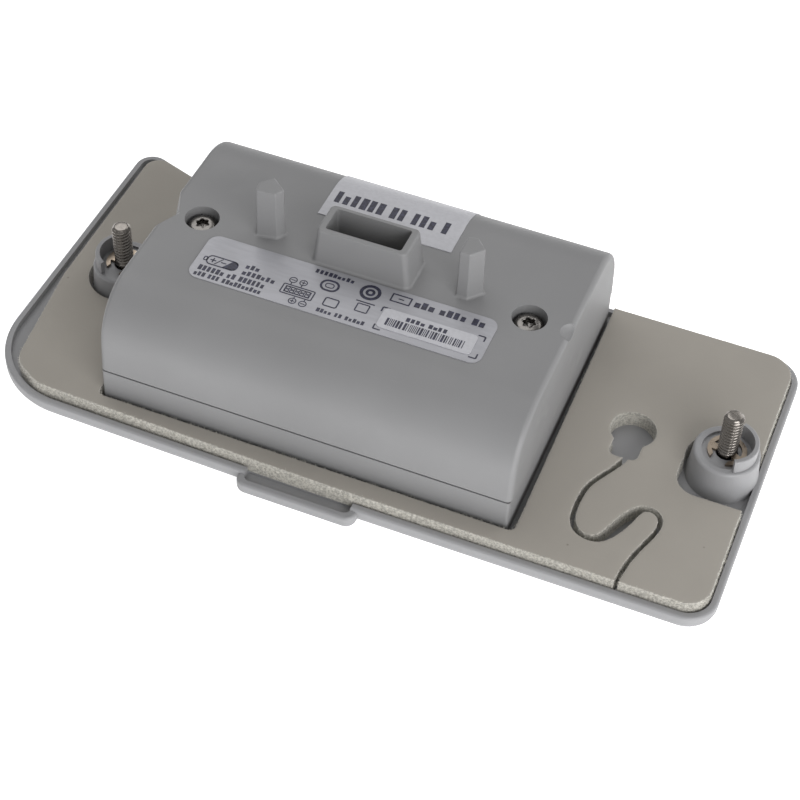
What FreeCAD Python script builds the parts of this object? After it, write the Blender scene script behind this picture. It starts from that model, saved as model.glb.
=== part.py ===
"""Battery door with a fixed two-cell lithium-ion pack, in millimetres.

The door is a moulded tray that lies on its outer face, Z = 0. A foam gasket fills the tray,
the pack stands in a cut-out of the foam, and one captive screw stands in a boss at each end.
X runs along the door, Y across it and Z up through the pack.
"""
import FreeCAD, Part
import math
import os

os.makedirs("parts", exist_ok=True)
V = FreeCAD.Vector

# WELD: how far a piece sinks into the one it grows from. ABOVE, BELOW: heights clear of everything.
WELD = 0.5
ABOVE = 60.0
BELOW = -5.0

# ---- door: outline corners are (x, y, corner radius) ---------------------------------------------
DOOR_LEN = 136.7
DOOR_DEPTH = 70.1
DOOR_FLOOR = 2.0
RIM_TOP = 3.2
RIM_W = 1.2
DOOR_BOTTOM_R = 1.6
HALF_L = DOOR_LEN / 2
HALF_D = DOOR_DEPTH / 2
FRONT_Y = -32.6
BACK_Y = 30.65
EAR_Y = 36.3
EAR_X = -51.1
DOOR_OUTLINE = [
    (-HALF_L, -32.0, 16.5), (0.0, FRONT_Y - 0.4, 900.0), (HALF_L, FRONT_Y, 5.5),
    (HALF_L, BACK_Y, 6.0), (EAR_X, BACK_Y, 9.0), (-HALF_L, EAR_Y, 3.4),
]
TAB_X = (-15.4, 6.7)
TAB_TOP = 2.6
TAB_LEDGE = 1.5
TAB_LIP = 1.2
TAB_ROOT_Y = -26.0
TAB_CORNER_R = 1.9
TAB_UNDER_R = 0.9
RIM_EDGE_R = 0.5

# ---- foam gasket ---------------------------------------------------------------------------------
FOAM_TOP = 5.2
FOAM_OUTLINE = [
    (-62.2, -26.6, 5.0), (-56.0, -30.35, 8.0), (0.0, -31.6, 900.0), (66.95, -31.2, 4.5),
    (66.95, 29.1, 5.0), (-51.5, 29.1, 8.0), (-65.3, 33.6, 3.0), (-65.0, -4.0, 12.0),
]
FOAM_GAP = 0.4
FOAM_GAP_RIGHT = (1.1, 0.35)
HOLE_CORNER_R = 1.0
BOSS_HOLE_R = 6.7
BOSS_GATE = (8.9, 1.0, 4.0)
CUT_TOP = 9.0
POCKET = (44.5, 1.5)
POCKET_R = 3.9
POCKET_NECK = (2.45, 6.7)
NECK_CORNER_R = 1.2
SLIT = [
    (45.3, -4.8, 0.7), (43.1, -9.8, 0.6), (41.1, -14.0, 0.6), (40.7, -17.8, 0.55), (41.0, -21.3, 0.6),
    (42.2, -23.4, 0.65), (44.2, -24.3, 0.7), (46.1, -23.9, 1.2), (47.5, -22.3, 1.7), (50.2, -16.3, 1.6),
    (51.5, -14.8, 0.9), (53.3, -14.7, 0.6), (54.7, -16.0, 0.55), (54.9, -17.8, 0.5), (54.0, -21.2, 0.5),
    (52.8, -24.9, 0.5), (51.95, -29.3, 0.5), (51.6, -33.5, 0.5),
]

# ---- pack case, set out from its own centre ------------------------------------------------------
CASE_X = -6.35
LINE_Y = 0.45
CASE_LEN = 76.0
CASE_END = CASE_LEN / 2
CASE_TOP = 25.5
CASE_SPLIT = 10.5
CASE_WALL = 1.0
END_WALL = 1.2
FOOT_HALF = 28.0
ROUND_R = 10.3
DRAFT = math.radians(6.2)
CELL_Y = 16.6
CELL_Z = CASE_TOP - ROUND_R
TANGENT_Z = CELL_Z + ROUND_R * math.sin(DRAFT)
SPLIT_HALF = CELL_Y + ROUND_R * math.cos(DRAFT) + (TANGENT_Z - CASE_SPLIT) * math.tan(DRAFT)
CASE_FLOOR = 1.4
TONGUE_W = 0.7
TONGUE_H = 1.2
TONGUE_ROOT = 2.0
TONGUE_PLAY = 0.05
BASE_STEP = 0.2
BASE_EDGE_R = 0.5
RIB_X = (-24.0, 0.0, 24.0)
RIB_W = 1.6
RIB_TOP = 9.0
BED_PLAY = 0.05
END_FILLET = 1.0
NOTCH_HALF = 5.8
NOTCH_IN = 2.7
NOTCH_DROP = 5.2
NOTCH_TIP_Y = -0.4
NOTCH_LOW_Y = 2.6
SCOOP = (38.1, -0.4, 26.4)
SCOOP_R = 2.3
NOTCH_BACKING = (33.2, 7.0, 19.5)
SEAM = 0.35

# ---- case screws and inserts ---------------------------------------------------------------------
CASE_SCREW_X = (-31.0, 30.3)
CBORE_R = 3.1
CBORE_DEPTH = 3.0
COLUMN_R = 3.7
SCREW_SHANK_R = 1.45
SCREW_HOLE_R = 1.7
SCREW_HEAD_R = 2.7
SCREW_HEAD_H = 1.9
SOCKET_R = 1.1
SOCKET_DEPTH = 1.1
HEAD_EDGE_R = 0.5
SCREW_TIP = 1.9
SPIGOT_R = 3.2
SPIGOT_TOP = 4.6
SPIGOT_WALL = 1.2
SPIGOT_PLAY = 0.1
INSERT_R = 2.1
INSERT_BORE_R = 1.5
INSERT_BOTTOM = 1.0
INSERT_PLAY = 0.02
INSERT_WAIST = (2.6, 3.1, 0.3)

# ---- connector shroud and guide posts ------------------------------------------------------------
SHROUD_Y = 1.8
SHROUD_TOP = 32.8
SHROUD_RIM = (16.5, 7.1)
SHROUD_FOOT = (18.2, 8.0)
SHROUD_OPENING = (14.0, 5.4)
SHROUD_EDGE_R = 0.4
SHROUD_CORNER_R = 1.0
OPENING_CORNER_R = 0.5
BLOCK_TOP = 27.4
CONTACT_COUNT = 5
CONTACT_PITCH = 2.4
CONTACT_SLOT = (0.55, 1.7, 4.0)
CONTACT_SIZE = (0.4, 1.6, 3.95, 0.3)
CONTACT_LEAF = 0.6
BLOCK_PLAY = 0.1
POST_SECTIONS = (
    [(-20.4, 0.2), (-16.9, 0.6), (-16.0, 2.3), (-18.8, 4.55), (-20.9, 2.5)],
    [(17.0, 0.1), (18.95, 0.0), (20.95, 2.3), (18.8, 4.6), (17.0, 4.2)],
)
POST_X = 18.6
POST_REACH = 3.2
POST_TOP = 35.6
POST_FLARE = 1.08
POST_EDGE_R = 0.3
ROOT_R = 0.5

# ---- cells and electrics -------------------------------------------------------------------------
CELL_R = 9.1
CELL_LEN = 65.0
SLEEVE = 0.1
SLEEVE_PLAY = 0.01
CELL_STEP = 0.7
CELL_NECK = (3.4, 2.6)
CELL_NECK_DEPTH = 0.5
BUTTON_R = 3.2
WASHER_X = (0.65, 0.35)
WASHER_R = 8.7
WASHER_BORE_R = 3.4
STRIP = 0.2
STRIP_HALF = 3.5
STRIP_PLAY = 0.05
STRIP_CLEAR = 0.6
LINK_Y = (9.5, 6.0, 20.5)
RISER_Y = (8.2, 11.5)
EAR_Y_RANGE = (5.6, 8.6)
EAR_REACH = 2.5
BOARD = (50.0, 18.0, 1.0)
BOARD_TOP = 21.9
EAR_TOP = BOARD_TOP + STRIP + 0.02
BEAD = (8.5, 6.0, 18.4)
BEAD_R = 1.1
LEG_R = 0.2
LEG_GAP = 1.0
PAD = (16.0, 5.0, (-20.0, 4.0))
CARD = (7.5, 7.0, 5.5, 0.3)
BOARD_PEG_X = 21.0
BOARD_PEG_Y = 6.5
BOARD_PEG_R = 1.2

# ---- screw bosses and captive screws -------------------------------------------------------------
STUD_X = (-54.15, 61.15)
BOSS_FOOT_R = 6.5
BOSS_MID_R = 6.1
BOSS_NECK_R = 5.75
BOSS_MID_Z = 4.4
BOSS_LEDGE_Z = 8.6
COLLAR_R = 5.2
COLLAR_TOP = 11.2
BOSS_BORE_R = 4.4
BOSS_FLOOR_Z = 8.1
HEAD_POCKET_R = 3.9
HEAD_POCKET_TOP = 5.0
CLEAR_HOLE_R = 1.95
COLLAR_GAP_FROM = (-116.0, 72.0)
COLLAR_GAP = 224.0
BOSS_EDGE_R = 0.6
COLLAR_EDGE_R = 0.25
STUD_R = 1.75
NECK_R = 1.5
STUD_TOP = 17.4
STUD_CHAMFER = 0.5
STUD_HEAD_R = 3.4
STUD_HEAD_Z = 0.3
STUD_HEAD_H = 2.2
GROOVE_R = 1.35
GROOVE_PLAY = 0.05
DRIVE_SLOT_W = 1.0
DRIVE_SLOT_TOP = 1.4
CLIP_Z = 8.15
CLIP_T = 0.5
CLIP_BORE_R = 1.4
CLIP_R = 3.4
CLIP_RING_W = 0.8
PRONG_W = 1.4
PRONG_STEP = 105.0
MOUTH_W = 3.0
CLIP_TURN = 73.0

# ---- labels: (x from, x to, y from, y to), set out from the case centre --------------------------
LABEL_T = 0.15
LABEL_CORNER_R = (2.0, 0.8)
MAIN_LABEL = (-27.4, 26.2, -14.0, -3.0)
SERIAL_LABEL = (7.2, 24.1, -12.5, -7.8)
INSPECTION_LABEL = (-12.9, 12.4, 9.4)
INSPECTION_WRAP = 62.0


def save(shape, node):
    """Writes one node's solids to its STEP file."""
    shape.exportStep("parts/" + node + ".step")


def box(x0, x1, y0, y1, z0, z1):
    """A block between two corners."""
    return Part.makeBox(x1 - x0, y1 - y0, z1 - z0, V(x0, y0, z0))


def tube(radius, x, y, z0, z1):
    """An upright cylinder."""
    return Part.makeCylinder(radius, z1 - z0, V(x, y, z0))


def rounded(corners):
    """A closed wire through straight sides, with a tangent arc at each (x, y, radius) corner."""
    edges = []
    ends = []
    count = len(corners)
    for i, (x, y, r) in enumerate(corners):
        here = V(x, y, 0)
        before = (V(*corners[i - 1][:2], 0) - here).normalize()
        after = (V(*corners[(i + 1) % count][:2], 0) - here).normalize()
        half = before.getAngle(after) / 2
        reach = r / math.tan(half)
        inward = (before + after).normalize()
        middle = here + inward * (r / math.sin(half) - r)
        ends.append((here + before * reach, middle, here + after * reach))
    for i, (start, middle, end) in enumerate(ends):
        edges.append(Part.Arc(start, middle, end).toShape())
        following = ends[(i + 1) % count][0]
        if end.distanceToPoint(following) > 1e-6:
            edges.append(Part.LineSegment(end, following).toShape())
    return Part.Wire(edges)


def slab(wire, z0, z1):
    """A flat outline raised from z0 to z1."""
    solid = Part.Face(wire).extrude(V(0, 0, z1 - z0))
    solid.translate(V(0, 0, z0))
    return solid


def rectangle(x0, x1, y0, y1, r):
    """A rectangle with rounded corners."""
    return rounded([(x0, y0, r), (x1, y0, r), (x1, y1, r), (x0, y1, r)])


def edges_at(shape, z):
    """The edges that lie wholly at height z."""
    found = []
    for edge in shape.Edges:
        low, high = edge.BoundBox.ZMin, edge.BoundBox.ZMax
        if abs(low - z) < 1e-4 and abs(high - z) < 1e-4:
            found.append(edge)
    return found


def mirrored_x(shape):
    """The shape and its mirror image across the YZ plane."""
    return [shape, shape.mirror(V(0, 0, 0), V(1, 0, 0))]


def in_pack(shape):
    """Moves a shape set out from the pack's centre to its place on the door."""
    shape.translate(V(CASE_X, LINE_Y, 0))
    return shape


# ---- door ----------------------------------------------------------------------------------------

def boss_blank(x, gap_from):
    """The outside of one screw boss: a flared foot, a ledge and a part-round collar."""
    sunk = DOOR_FLOOR - WELD
    foot = Part.makeCone(BOSS_FOOT_R, BOSS_MID_R, BOSS_MID_Z - sunk, V(x, LINE_Y, sunk))
    neck = Part.makeCone(BOSS_MID_R, BOSS_NECK_R, BOSS_LEDGE_Z - BOSS_MID_Z, V(x, LINE_Y, BOSS_MID_Z))
    neck = neck.makeFillet(BOSS_EDGE_R, edges_at(neck, BOSS_LEDGE_Z))
    collar = tube(COLLAR_R, x, LINE_Y, BOSS_LEDGE_Z - WELD, COLLAR_TOP)
    collar = collar.makeFillet(COLLAR_EDGE_R, edges_at(collar, COLLAR_TOP))
    gap = Part.makeCylinder(2 * COLLAR_R, COLLAR_TOP, V(x, LINE_Y, BOSS_LEDGE_Z), V(0, 0, 1), COLLAR_GAP)
    gap.rotate(V(x, LINE_Y, 0), V(0, 0, 1), gap_from)
    return foot.fuse([neck, collar.cut(gap)])


def boss_hollow(x):
    """What is cut from a boss: clip space, clearance hole and head pocket."""
    upper = tube(BOSS_BORE_R, x, LINE_Y, BOSS_FLOOR_Z, ABOVE)
    hole = tube(CLEAR_HOLE_R, x, LINE_Y, BELOW, ABOVE)
    pocket = tube(HEAD_POCKET_R, x, LINE_Y, BELOW, HEAD_POCKET_TOP)
    return upper.fuse([hole, pocket])


def front_tab():
    """The finger tab: a ledge cut through the rim, closed by a rounded lip."""
    x0, x1 = TAB_X
    blank = slab(rectangle(x0, x1, -HALF_D, TAB_ROOT_Y, TAB_CORNER_R), 0, TAB_TOP)
    blank = blank.makeFillet(TAB_UNDER_R, edges_at(blank, 0))
    blank = blank.makeFillet(RIM_EDGE_R, edges_at(blank, TAB_TOP))
    ledge = rectangle(x0 + TAB_LIP, x1 - TAB_LIP, -HALF_D + TAB_LIP, TAB_ROOT_Y, TAB_CORNER_R - 0.7)
    ledge = slab(ledge, TAB_LEDGE, CUT_TOP)
    return blank, ledge


def cover_plate():
    """The door: a shallow rimmed tray with its tab, two bosses and the pack's two spigots."""
    outline = rounded(DOOR_OUTLINE)
    tray = slab(outline, 0, RIM_TOP)
    tray = tray.makeFillet(DOOR_BOTTOM_R, edges_at(tray, 0))
    tray = tray.makeFillet(RIM_EDGE_R, edges_at(tray, RIM_TOP))
    inside = Part.Face(outline).makeOffset2D(-RIM_W)
    well = inside.extrude(V(0, 0, RIM_TOP))
    well.translate(V(0, 0, DOOR_FLOOR))
    tab, ledge = front_tab()
    floor_cut = ledge.cut(box(-HALF_L, HALF_L, FRONT_Y + RIM_W, 0, BELOW, ABOVE))
    plate = tray.fuse(tab).cut([well, floor_cut])
    adds = [boss_blank(x, start) for x, start in zip(STUD_X, COLLAR_GAP_FROM)]
    cuts = [boss_hollow(x) for x in STUD_X]
    for x in CASE_SCREW_X:
        adds.append(tube(SPIGOT_R, CASE_X + x, LINE_Y, DOOR_FLOOR - WELD, SPIGOT_TOP))
        cuts.append(tube(INSERT_R + INSERT_PLAY, CASE_X + x, LINE_Y, INSERT_BOTTOM, ABOVE))
    return plate.fuse(adds).cut(cuts).removeSplitter()


# ---- foam gasket ---------------------------------------------------------------------------------

def foam_slit():
    """The slit that winds from the pocket to the front edge: (x, y, width) along its centre line."""
    left = []
    right = []
    for i, (x, y, width) in enumerate(SLIT):
        before = SLIT[max(i - 1, 0)]
        after = SLIT[min(i + 1, len(SLIT) - 1)]
        along = V(after[0] - before[0], after[1] - before[1], 0).normalize()
        side = V(-along.y, along.x, 0) * (width / 2)
        left.append(V(x, y, 0) + side)
        right.append(V(x, y, 0) - side)
    edges = []
    for bank in (left, right):
        curve = Part.BSplineCurve()
        curve.interpolate(bank)
        edges.append(curve.toShape())
    edges.insert(1, Part.LineSegment(left[-1], right[-1]).toShape())
    edges.append(Part.LineSegment(right[0], left[0]).toShape())
    return slab(Part.Wire(Part.sortEdges(edges)[0]), 0, CUT_TOP)


def foam_pad():
    """The gasket, cut out for the case, the bosses, the pocket and the slit."""
    pad = slab(rounded(FOAM_OUTLINE), DOOR_FLOOR, FOAM_TOP)
    front = -FOOT_HALF - FOAM_GAP
    wide, narrow = FOAM_GAP_RIGHT
    case_hole = rounded([
        (-CASE_END - FOAM_GAP, front, HOLE_CORNER_R), (CASE_END + wide, front, HOLE_CORNER_R),
        (CASE_END + narrow, HALF_D, HOLE_CORNER_R), (-CASE_END - FOAM_GAP, HALF_D, HOLE_CORNER_R),
    ])
    case_hole = in_pack(slab(case_hole, 0, CUT_TOP))
    left, right = STUD_X
    left_hole = tube(BOSS_HOLE_R, left, LINE_Y, 0, CUT_TOP)
    left_gate = box(left, CASE_X - CASE_END, LINE_Y - BOSS_HOLE_R, LINE_Y + BOSS_HOLE_R, 0, CUT_TOP)
    right_hole = tube(BOSS_HOLE_R, right, LINE_Y, 0, CUT_TOP)
    front, back, corner = BOSS_GATE
    right_gate = rectangle(right - BOSS_HOLE_R, 1.1 * HALF_L, LINE_Y - front, LINE_Y + back, corner)
    right_gate = slab(right_gate, 0, CUT_TOP)
    px, py = POCKET
    pocket = tube(POCKET_R, px, py, 0, CUT_TOP)
    half, drop = POCKET_NECK
    neck = slab(rectangle(px - half, px + half, py - drop, py, NECK_CORNER_R), 0, CUT_TOP)
    return pad.cut([case_hole, left_hole, left_gate, right_hole, right_gate, pocket, neck, foam_slit()])


# ---- pack case -----------------------------------------------------------------------------------

def case_profile(inset):
    """The case section across X, above the split, drawn in by inset: drafted walls, round shoulders."""
    r = ROUND_R - inset
    corner = r / math.sqrt(2)
    low = SPLIT_HALF - inset / math.cos(DRAFT)
    roof = CELL_Z + r
    edges = []
    for side in (1, -1):
        foot = V(0, side * low, CASE_SPLIT)
        start = V(0, side * (CELL_Y + r * math.cos(DRAFT)), CELL_Z + r * math.sin(DRAFT))
        middle = V(0, side * (CELL_Y + corner), CELL_Z + corner)
        top = V(0, side * CELL_Y, roof)
        edges.append(Part.LineSegment(foot, start).toShape())
        edges.append(Part.Arc(start, middle, top).toShape())
    edges.append(Part.LineSegment(V(0, CELL_Y, roof), V(0, -CELL_Y, roof)).toShape())
    edges.append(Part.LineSegment(V(0, -low, CASE_SPLIT), V(0, low, CASE_SPLIT)).toShape())
    return Part.Face(Part.Wire(Part.sortEdges(edges)[0]))


def case_block(inset, end_inset):
    """The case section drawn out along X between the ends."""
    length = CASE_LEN - 2 * end_inset
    solid = case_profile(inset).extrude(V(length, 0, 0))
    solid.translate(V(-length / 2, 0, 0))
    return solid


def end_notches():
    """The finger notch in the top edge of the left end, and the small scoop in the right one."""
    tip = V(NOTCH_IN - CASE_END, NOTCH_TIP_Y, CASE_TOP + 0.01)
    front = V(-CASE_END - 0.01, -NOTCH_HALF, CASE_TOP + 0.01)
    back = V(-CASE_END - 0.01, NOTCH_HALF, CASE_TOP + 0.01)
    low = V(-CASE_END - 0.01, NOTCH_LOW_Y, CASE_TOP - NOTCH_DROP)
    faces = [Part.Face(Part.makePolygon([a, b, c, a])) for a, b, c in
             ((tip, front, back), (tip, front, low), (tip, back, low), (front, back, low))]
    return [Part.makeSolid(Part.makeShell(faces)), Part.makeSphere(SCOOP_R, V(*SCOOP))]


def guide_post(section):
    """One guide post: a slightly tapered five-sided prism with softened edges."""
    cx = sum(x for x, y in section) / len(section)
    cy = sum(y for x, y in section) / len(section)

    def ring(scale, z):
        points = [V(cx + (x - cx) * scale, cy + (y - cy) * scale, z) for x, y in section]
        return Part.makePolygon(points + [points[0]])

    post = Part.makeLoft([ring(POST_FLARE, CASE_TOP - WELD), ring(1.0, POST_TOP)], True, True)
    return post.makeFillet(POST_EDGE_R, [e for e in post.Edges if e.BoundBox.ZMax > CASE_TOP])


def connector_shroud():
    """The drafted socket wall around the connector, and the opening through it."""
    def ring(size, z):
        w, d = size
        wire = rectangle(-w / 2, w / 2, SHROUD_Y - d / 2, SHROUD_Y + d / 2, SHROUD_CORNER_R)
        wire.translate(V(0, 0, z))
        return wire

    wall = Part.makeLoft([ring(SHROUD_FOOT, CASE_TOP - WELD), ring(SHROUD_RIM, SHROUD_TOP)], True, True)
    wall = wall.makeFillet(SHROUD_EDGE_R, edges_at(wall, SHROUD_TOP))
    w, d = SHROUD_OPENING
    opening = rectangle(-w / 2, w / 2, SHROUD_Y - d / 2, SHROUD_Y + d / 2, OPENING_CORNER_R)
    opening = slab(opening, BOARD_TOP, ABOVE)
    return wall, opening


def end_outline(shape):
    """The edges round both ends of the case, above the split."""
    found = []
    for edge in shape.Edges:
        room = edge.BoundBox
        if room.XLength < 1e-6 and room.ZMax > CASE_SPLIT + 0.1:
            found.append(edge)
    return found


def root_edges(shape):
    """The edges where the shroud and the posts rise from the flat top."""
    found = []
    for edge in edges_at(shape, CASE_TOP):
        centre = edge.BoundBox.Center
        at_shroud = abs(centre.x) < SHROUD_FOOT[0] / 2 and abs(centre.y - SHROUD_Y) < SHROUD_FOOT[1] / 2 + 0.1
        at_post = abs(abs(centre.x) - POST_X) < POST_REACH and abs(centre.y - SHROUD_Y) < SHROUD_FOOT[1] / 2
        if at_shroud or at_post:
            found.append(edge)
    return found


def case_cover():
    """The case above the split: shell, screw columns, board pegs, shroud and posts."""
    outer = case_block(0, 0)
    outer = outer.makeFillet(END_FILLET, end_outline(outer)).cut(end_notches())
    shell = outer.cut(case_block(CASE_WALL, END_WALL))
    adds = []
    cuts = []
    for x in CASE_SCREW_X:
        adds.append(tube(COLUMN_R, x, 0, CASE_SPLIT, CASE_TOP - WELD))
        cuts.append(tube(CBORE_R, x, 0, CASE_TOP - CBORE_DEPTH, ABOVE))
        cuts.append(tube(SCREW_HOLE_R, x, 0, BELOW, ABOVE))
    for x in (-BOARD_PEG_X, BOARD_PEG_X):
        for y in (-BOARD_PEG_Y, BOARD_PEG_Y):
            adds.append(tube(BOARD_PEG_R, x, y, BOARD_TOP, CASE_TOP - WELD))
    near, half, low = NOTCH_BACKING
    backing = box(near, CASE_END - END_WALL / 2, -half, half, low, CASE_TOP - CASE_WALL / 2)
    adds += [side.cut(end_notches()) for side in mirrored_x(backing)]
    wall, opening = connector_shroud()
    adds.append(wall)
    cuts.append(opening)
    adds += [guide_post(section) for section in POST_SECTIONS]
    cover = shell.fuse(adds).cut(cuts)
    return in_pack(cover.makeFillet(ROOT_R, root_edges(cover)))


def case_base():
    """The case below the split: tray, tongue, cell saddles and screw columns."""
    foot = FOOT_HALF - BASE_STEP
    end = CASE_END - BASE_STEP
    brim = CASE_SPLIT - SEAM
    ring = Part.makePolygon([V(-end, y, z) for y, z in (
        (-foot, DOOR_FLOOR), (foot, DOOR_FLOOR), (SPLIT_HALF, brim), (-SPLIT_HALF, brim),
        (-foot, DOOR_FLOOR))])
    outer = Part.Face(ring).extrude(V(2 * end, 0, 0))
    upright = [e for e in outer.Edges if e.BoundBox.ZLength > CASE_SPLIT / 2 and e.BoundBox.XLength < 1e-6]
    outer = outer.makeFillet(BASE_EDGE_R, upright)
    inner_x = CASE_END - END_WALL - TONGUE_PLAY
    inner_y = SPLIT_HALF - CASE_WALL - 4 * TONGUE_PLAY
    floor = DOOR_FLOOR + CASE_FLOOR
    well = box(-inner_x, inner_x, -inner_y, inner_y, floor, ABOVE)
    tongue = box(-inner_x, inner_x, -inner_y, inner_y, CASE_SPLIT - TONGUE_ROOT, CASE_SPLIT + TONGUE_H)
    narrow_x = inner_x - TONGUE_W
    narrow_y = inner_y - TONGUE_W
    hollow = box(-narrow_x, narrow_x, -narrow_y, narrow_y, floor, ABOVE)
    saddles = []
    for x in RIB_X:
        rib = box(x - RIB_W / 2, x + RIB_W / 2, -narrow_y, narrow_y, floor - WELD, RIB_TOP)
        for y in (-CELL_Y, CELL_Y):
            rib = rib.cut(along_x(CELL_R + SLEEVE + BED_PLAY, x - RIB_W, x + RIB_W, y))
        saddles.append(rib)
    columns = [tube(COLUMN_R, x, 0, floor - WELD, CASE_SPLIT) for x in CASE_SCREW_X]
    cap = SPIGOT_TOP + SPIGOT_WALL
    columns += [tube(SPIGOT_R + SPIGOT_WALL, x, 0, floor - WELD, cap) for x in CASE_SCREW_X]
    base = outer.cut(well).fuse(tongue).cut(hollow).fuse(saddles + columns)
    cuts = [tube(SCREW_HOLE_R, x, 0, BELOW, ABOVE) for x in CASE_SCREW_X]
    cuts += [tube(SPIGOT_R + SPIGOT_PLAY, x, 0, BELOW, SPIGOT_TOP + SPIGOT_PLAY) for x in CASE_SCREW_X]
    return in_pack(base.cut(cuts).removeSplitter())


def case_screws():
    """The two button-head screws that hold the case to the door."""
    seat = CASE_TOP - CBORE_DEPTH
    crown = seat + SCREW_HEAD_H
    solids = []
    for x in CASE_SCREW_X:
        head = tube(SCREW_HEAD_R, x, 0, seat, crown)
        head = head.makeFillet(HEAD_EDGE_R, edges_at(head, crown))
        corners = [math.radians(60 * i) for i in range(7)]
        socket = Part.makePolygon([V(x + SOCKET_R * math.cos(a), SOCKET_R * math.sin(a), 0) for a in corners])
        socket = slab(socket, crown - SOCKET_DEPTH, ABOVE)
        shank = tube(SCREW_SHANK_R, x, 0, SCREW_TIP, seat + WELD / 5)
        solids.append(in_pack(head.cut(socket).fuse(shank)))
    return Part.makeCompound(solids)


def threaded_inserts():
    """The two brass inserts in the door's spigots."""
    solids = []
    low, high, depth = INSERT_WAIST
    for x in CASE_SCREW_X:
        body = tube(INSERT_R, x, 0, INSERT_BOTTOM + 5 * INSERT_PLAY, SPIGOT_TOP)
        waist = tube(2 * INSERT_R, x, 0, low, high).cut(tube(INSERT_R - depth, x, 0, BELOW, ABOVE))
        solids.append(in_pack(body.cut([waist, tube(INSERT_BORE_R, x, 0, BELOW, ABOVE)])))
    return Part.makeCompound(solids)


# ---- cells and electrics -------------------------------------------------------------------------

def along_x(radius, x0, x1, y, z=CELL_Z):
    """A cylinder lying along X."""
    return Part.makeCylinder(radius, x1 - x0, V(x0, y, z), V(1, 0, 0))


def cell(y, plus):
    """One steel-can cell, with its raised terminal towards plus (+1 or -1 along X)."""
    half = CELL_LEN / 2
    can = along_x(CELL_R, CELL_STEP - half, half - CELL_STEP, y)
    neck = along_x(2 * CELL_R, *sorted((plus * (half - CELL_NECK[0]), plus * (half - CELL_NECK[1]))), y)
    groove = neck.cut(along_x(CELL_R - CELL_NECK_DEPTH, -half, half, y))
    button = along_x(BUTTON_R, *sorted((plus * (half - 1.5 * CELL_STEP), plus * half)), y)
    foot = along_x(CELL_R - CELL_STEP, *sorted((-plus * (half - 1.5 * CELL_STEP), -plus * half)), y)
    return in_pack(can.cut(groove).fuse([button, foot]))


def cell_sleeves():
    """The thin film sleeve round each cell."""
    solids = []
    half = CELL_LEN / 2 - 1.5 * CELL_STEP
    for y in (-CELL_Y, CELL_Y):
        skin = along_x(CELL_R + SLEEVE, -half, half, y)
        solids.append(in_pack(skin.cut(along_x(CELL_R + SLEEVE_PLAY, -half, half, y))))
    return Part.makeCompound(solids)


def insulator_rings():
    """Card washers round the two raised terminals."""
    solids = []
    half = CELL_LEN / 2
    for y, plus in ((-CELL_Y, 1), (CELL_Y, -1)):
        x0, x1 = sorted((plus * (half - WASHER_X[0]), plus * (half - WASHER_X[1])))
        washer = along_x(WASHER_R, x0, x1, y)
        solids.append(in_pack(washer.cut(along_x(WASHER_BORE_R, -CELL_LEN, CELL_LEN, y))))
    return Part.makeCompound(solids)


def ribbon(points, z0, z1):
    """An upright metal strip that follows a list of plan points."""
    solids = []
    for (ax, ay), (bx, by) in zip(points, points[1:]):
        along = V(bx - ax, by - ay, 0).normalize()
        side = V(-along.y, along.x, 0) * (STRIP / 2)
        a, b = V(ax, ay, 0) - along * (STRIP / 2), V(bx, by, 0) + along * (STRIP / 2)
        solids.append(slab(Part.makePolygon([a + side, b + side, b - side, a - side, a + side]), z0, z1))
    return solids[0].fuse(solids[1:])


def series_link():
    """The strip that joins the cells at the left end, with an ear folded onto the board."""
    face = -CELL_LEN / 2 - STRIP / 2 - STRIP_PLAY
    detour = CASE_SCREW_X[0] - COLUMN_R - STRIP_CLEAR
    near, bend, far = LINK_Y
    link = ribbon([(face, -far), (face, -near), (detour, -bend), (detour, bend), (face, near), (face, far)],
                  CELL_Z - STRIP_HALF, CELL_Z + STRIP_HALF)
    y0, y1 = EAR_Y_RANGE
    riser = box(face - STRIP / 2, face + STRIP / 2, *RISER_Y, CELL_Z, EAR_TOP)
    ear = box(face - STRIP / 2, EAR_REACH - BOARD[0] / 2, y0, y1, EAR_TOP - STRIP, EAR_TOP)
    return in_pack(link.fuse([riser, ear]))


def end_tab(side):
    """The strip from one cell's right end to the board, on the front (-1) or back (+1) side."""
    face = CELL_LEN / 2 + STRIP_PLAY / 2
    low, high = CELL_Z - STRIP_HALF, CELL_Z + STRIP_HALF
    plate = Part.makePolygon([V(face, side * y, z) for y, z in (
        (12.5, low), (LINK_Y[2], low), (LINK_Y[2], high), (9.0, EAR_TOP),
        (5.6, EAR_TOP), (5.6, EAR_TOP - 2.0), (12.5, low))])
    upright = Part.Face(plate).extrude(V(STRIP, 0, 0))
    y0, y1 = sorted((side * 5.6, side * 9.0))
    leaf = box(BOARD[0] / 2 - EAR_REACH, face + STRIP, y0, y1, EAR_TOP - STRIP, EAR_TOP)
    return in_pack(upright.fuse(leaf))


def protection_board():
    """The board that guards the cells."""
    length, width, thick = BOARD
    board = box(-length / 2, length / 2, -width / 2, width / 2, BOARD_TOP - thick, BOARD_TOP)
    return in_pack(board)


def board_parts(places, height):
    """Small blocks hung under the board: (x, y, length, width)."""
    under = BOARD_TOP - BOARD[2]
    solids = []
    for x, y, length, width in places:
        solids.append(in_pack(box(x, x + length, y, y + width, under - height, under)))
    return Part.makeCompound(solids)


def thermistor():
    """The temperature sensor: a bead on two legs."""
    x, y, z = BEAD
    bead = Part.makeSphere(BEAD_R, V(x, y, z))
    legs = [tube(LEG_R, x + side * LEG_GAP / 2, y, z, BOARD_TOP - BOARD[2]) for side in (-1, 1)]
    return in_pack(bead.fuse(legs))


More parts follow.
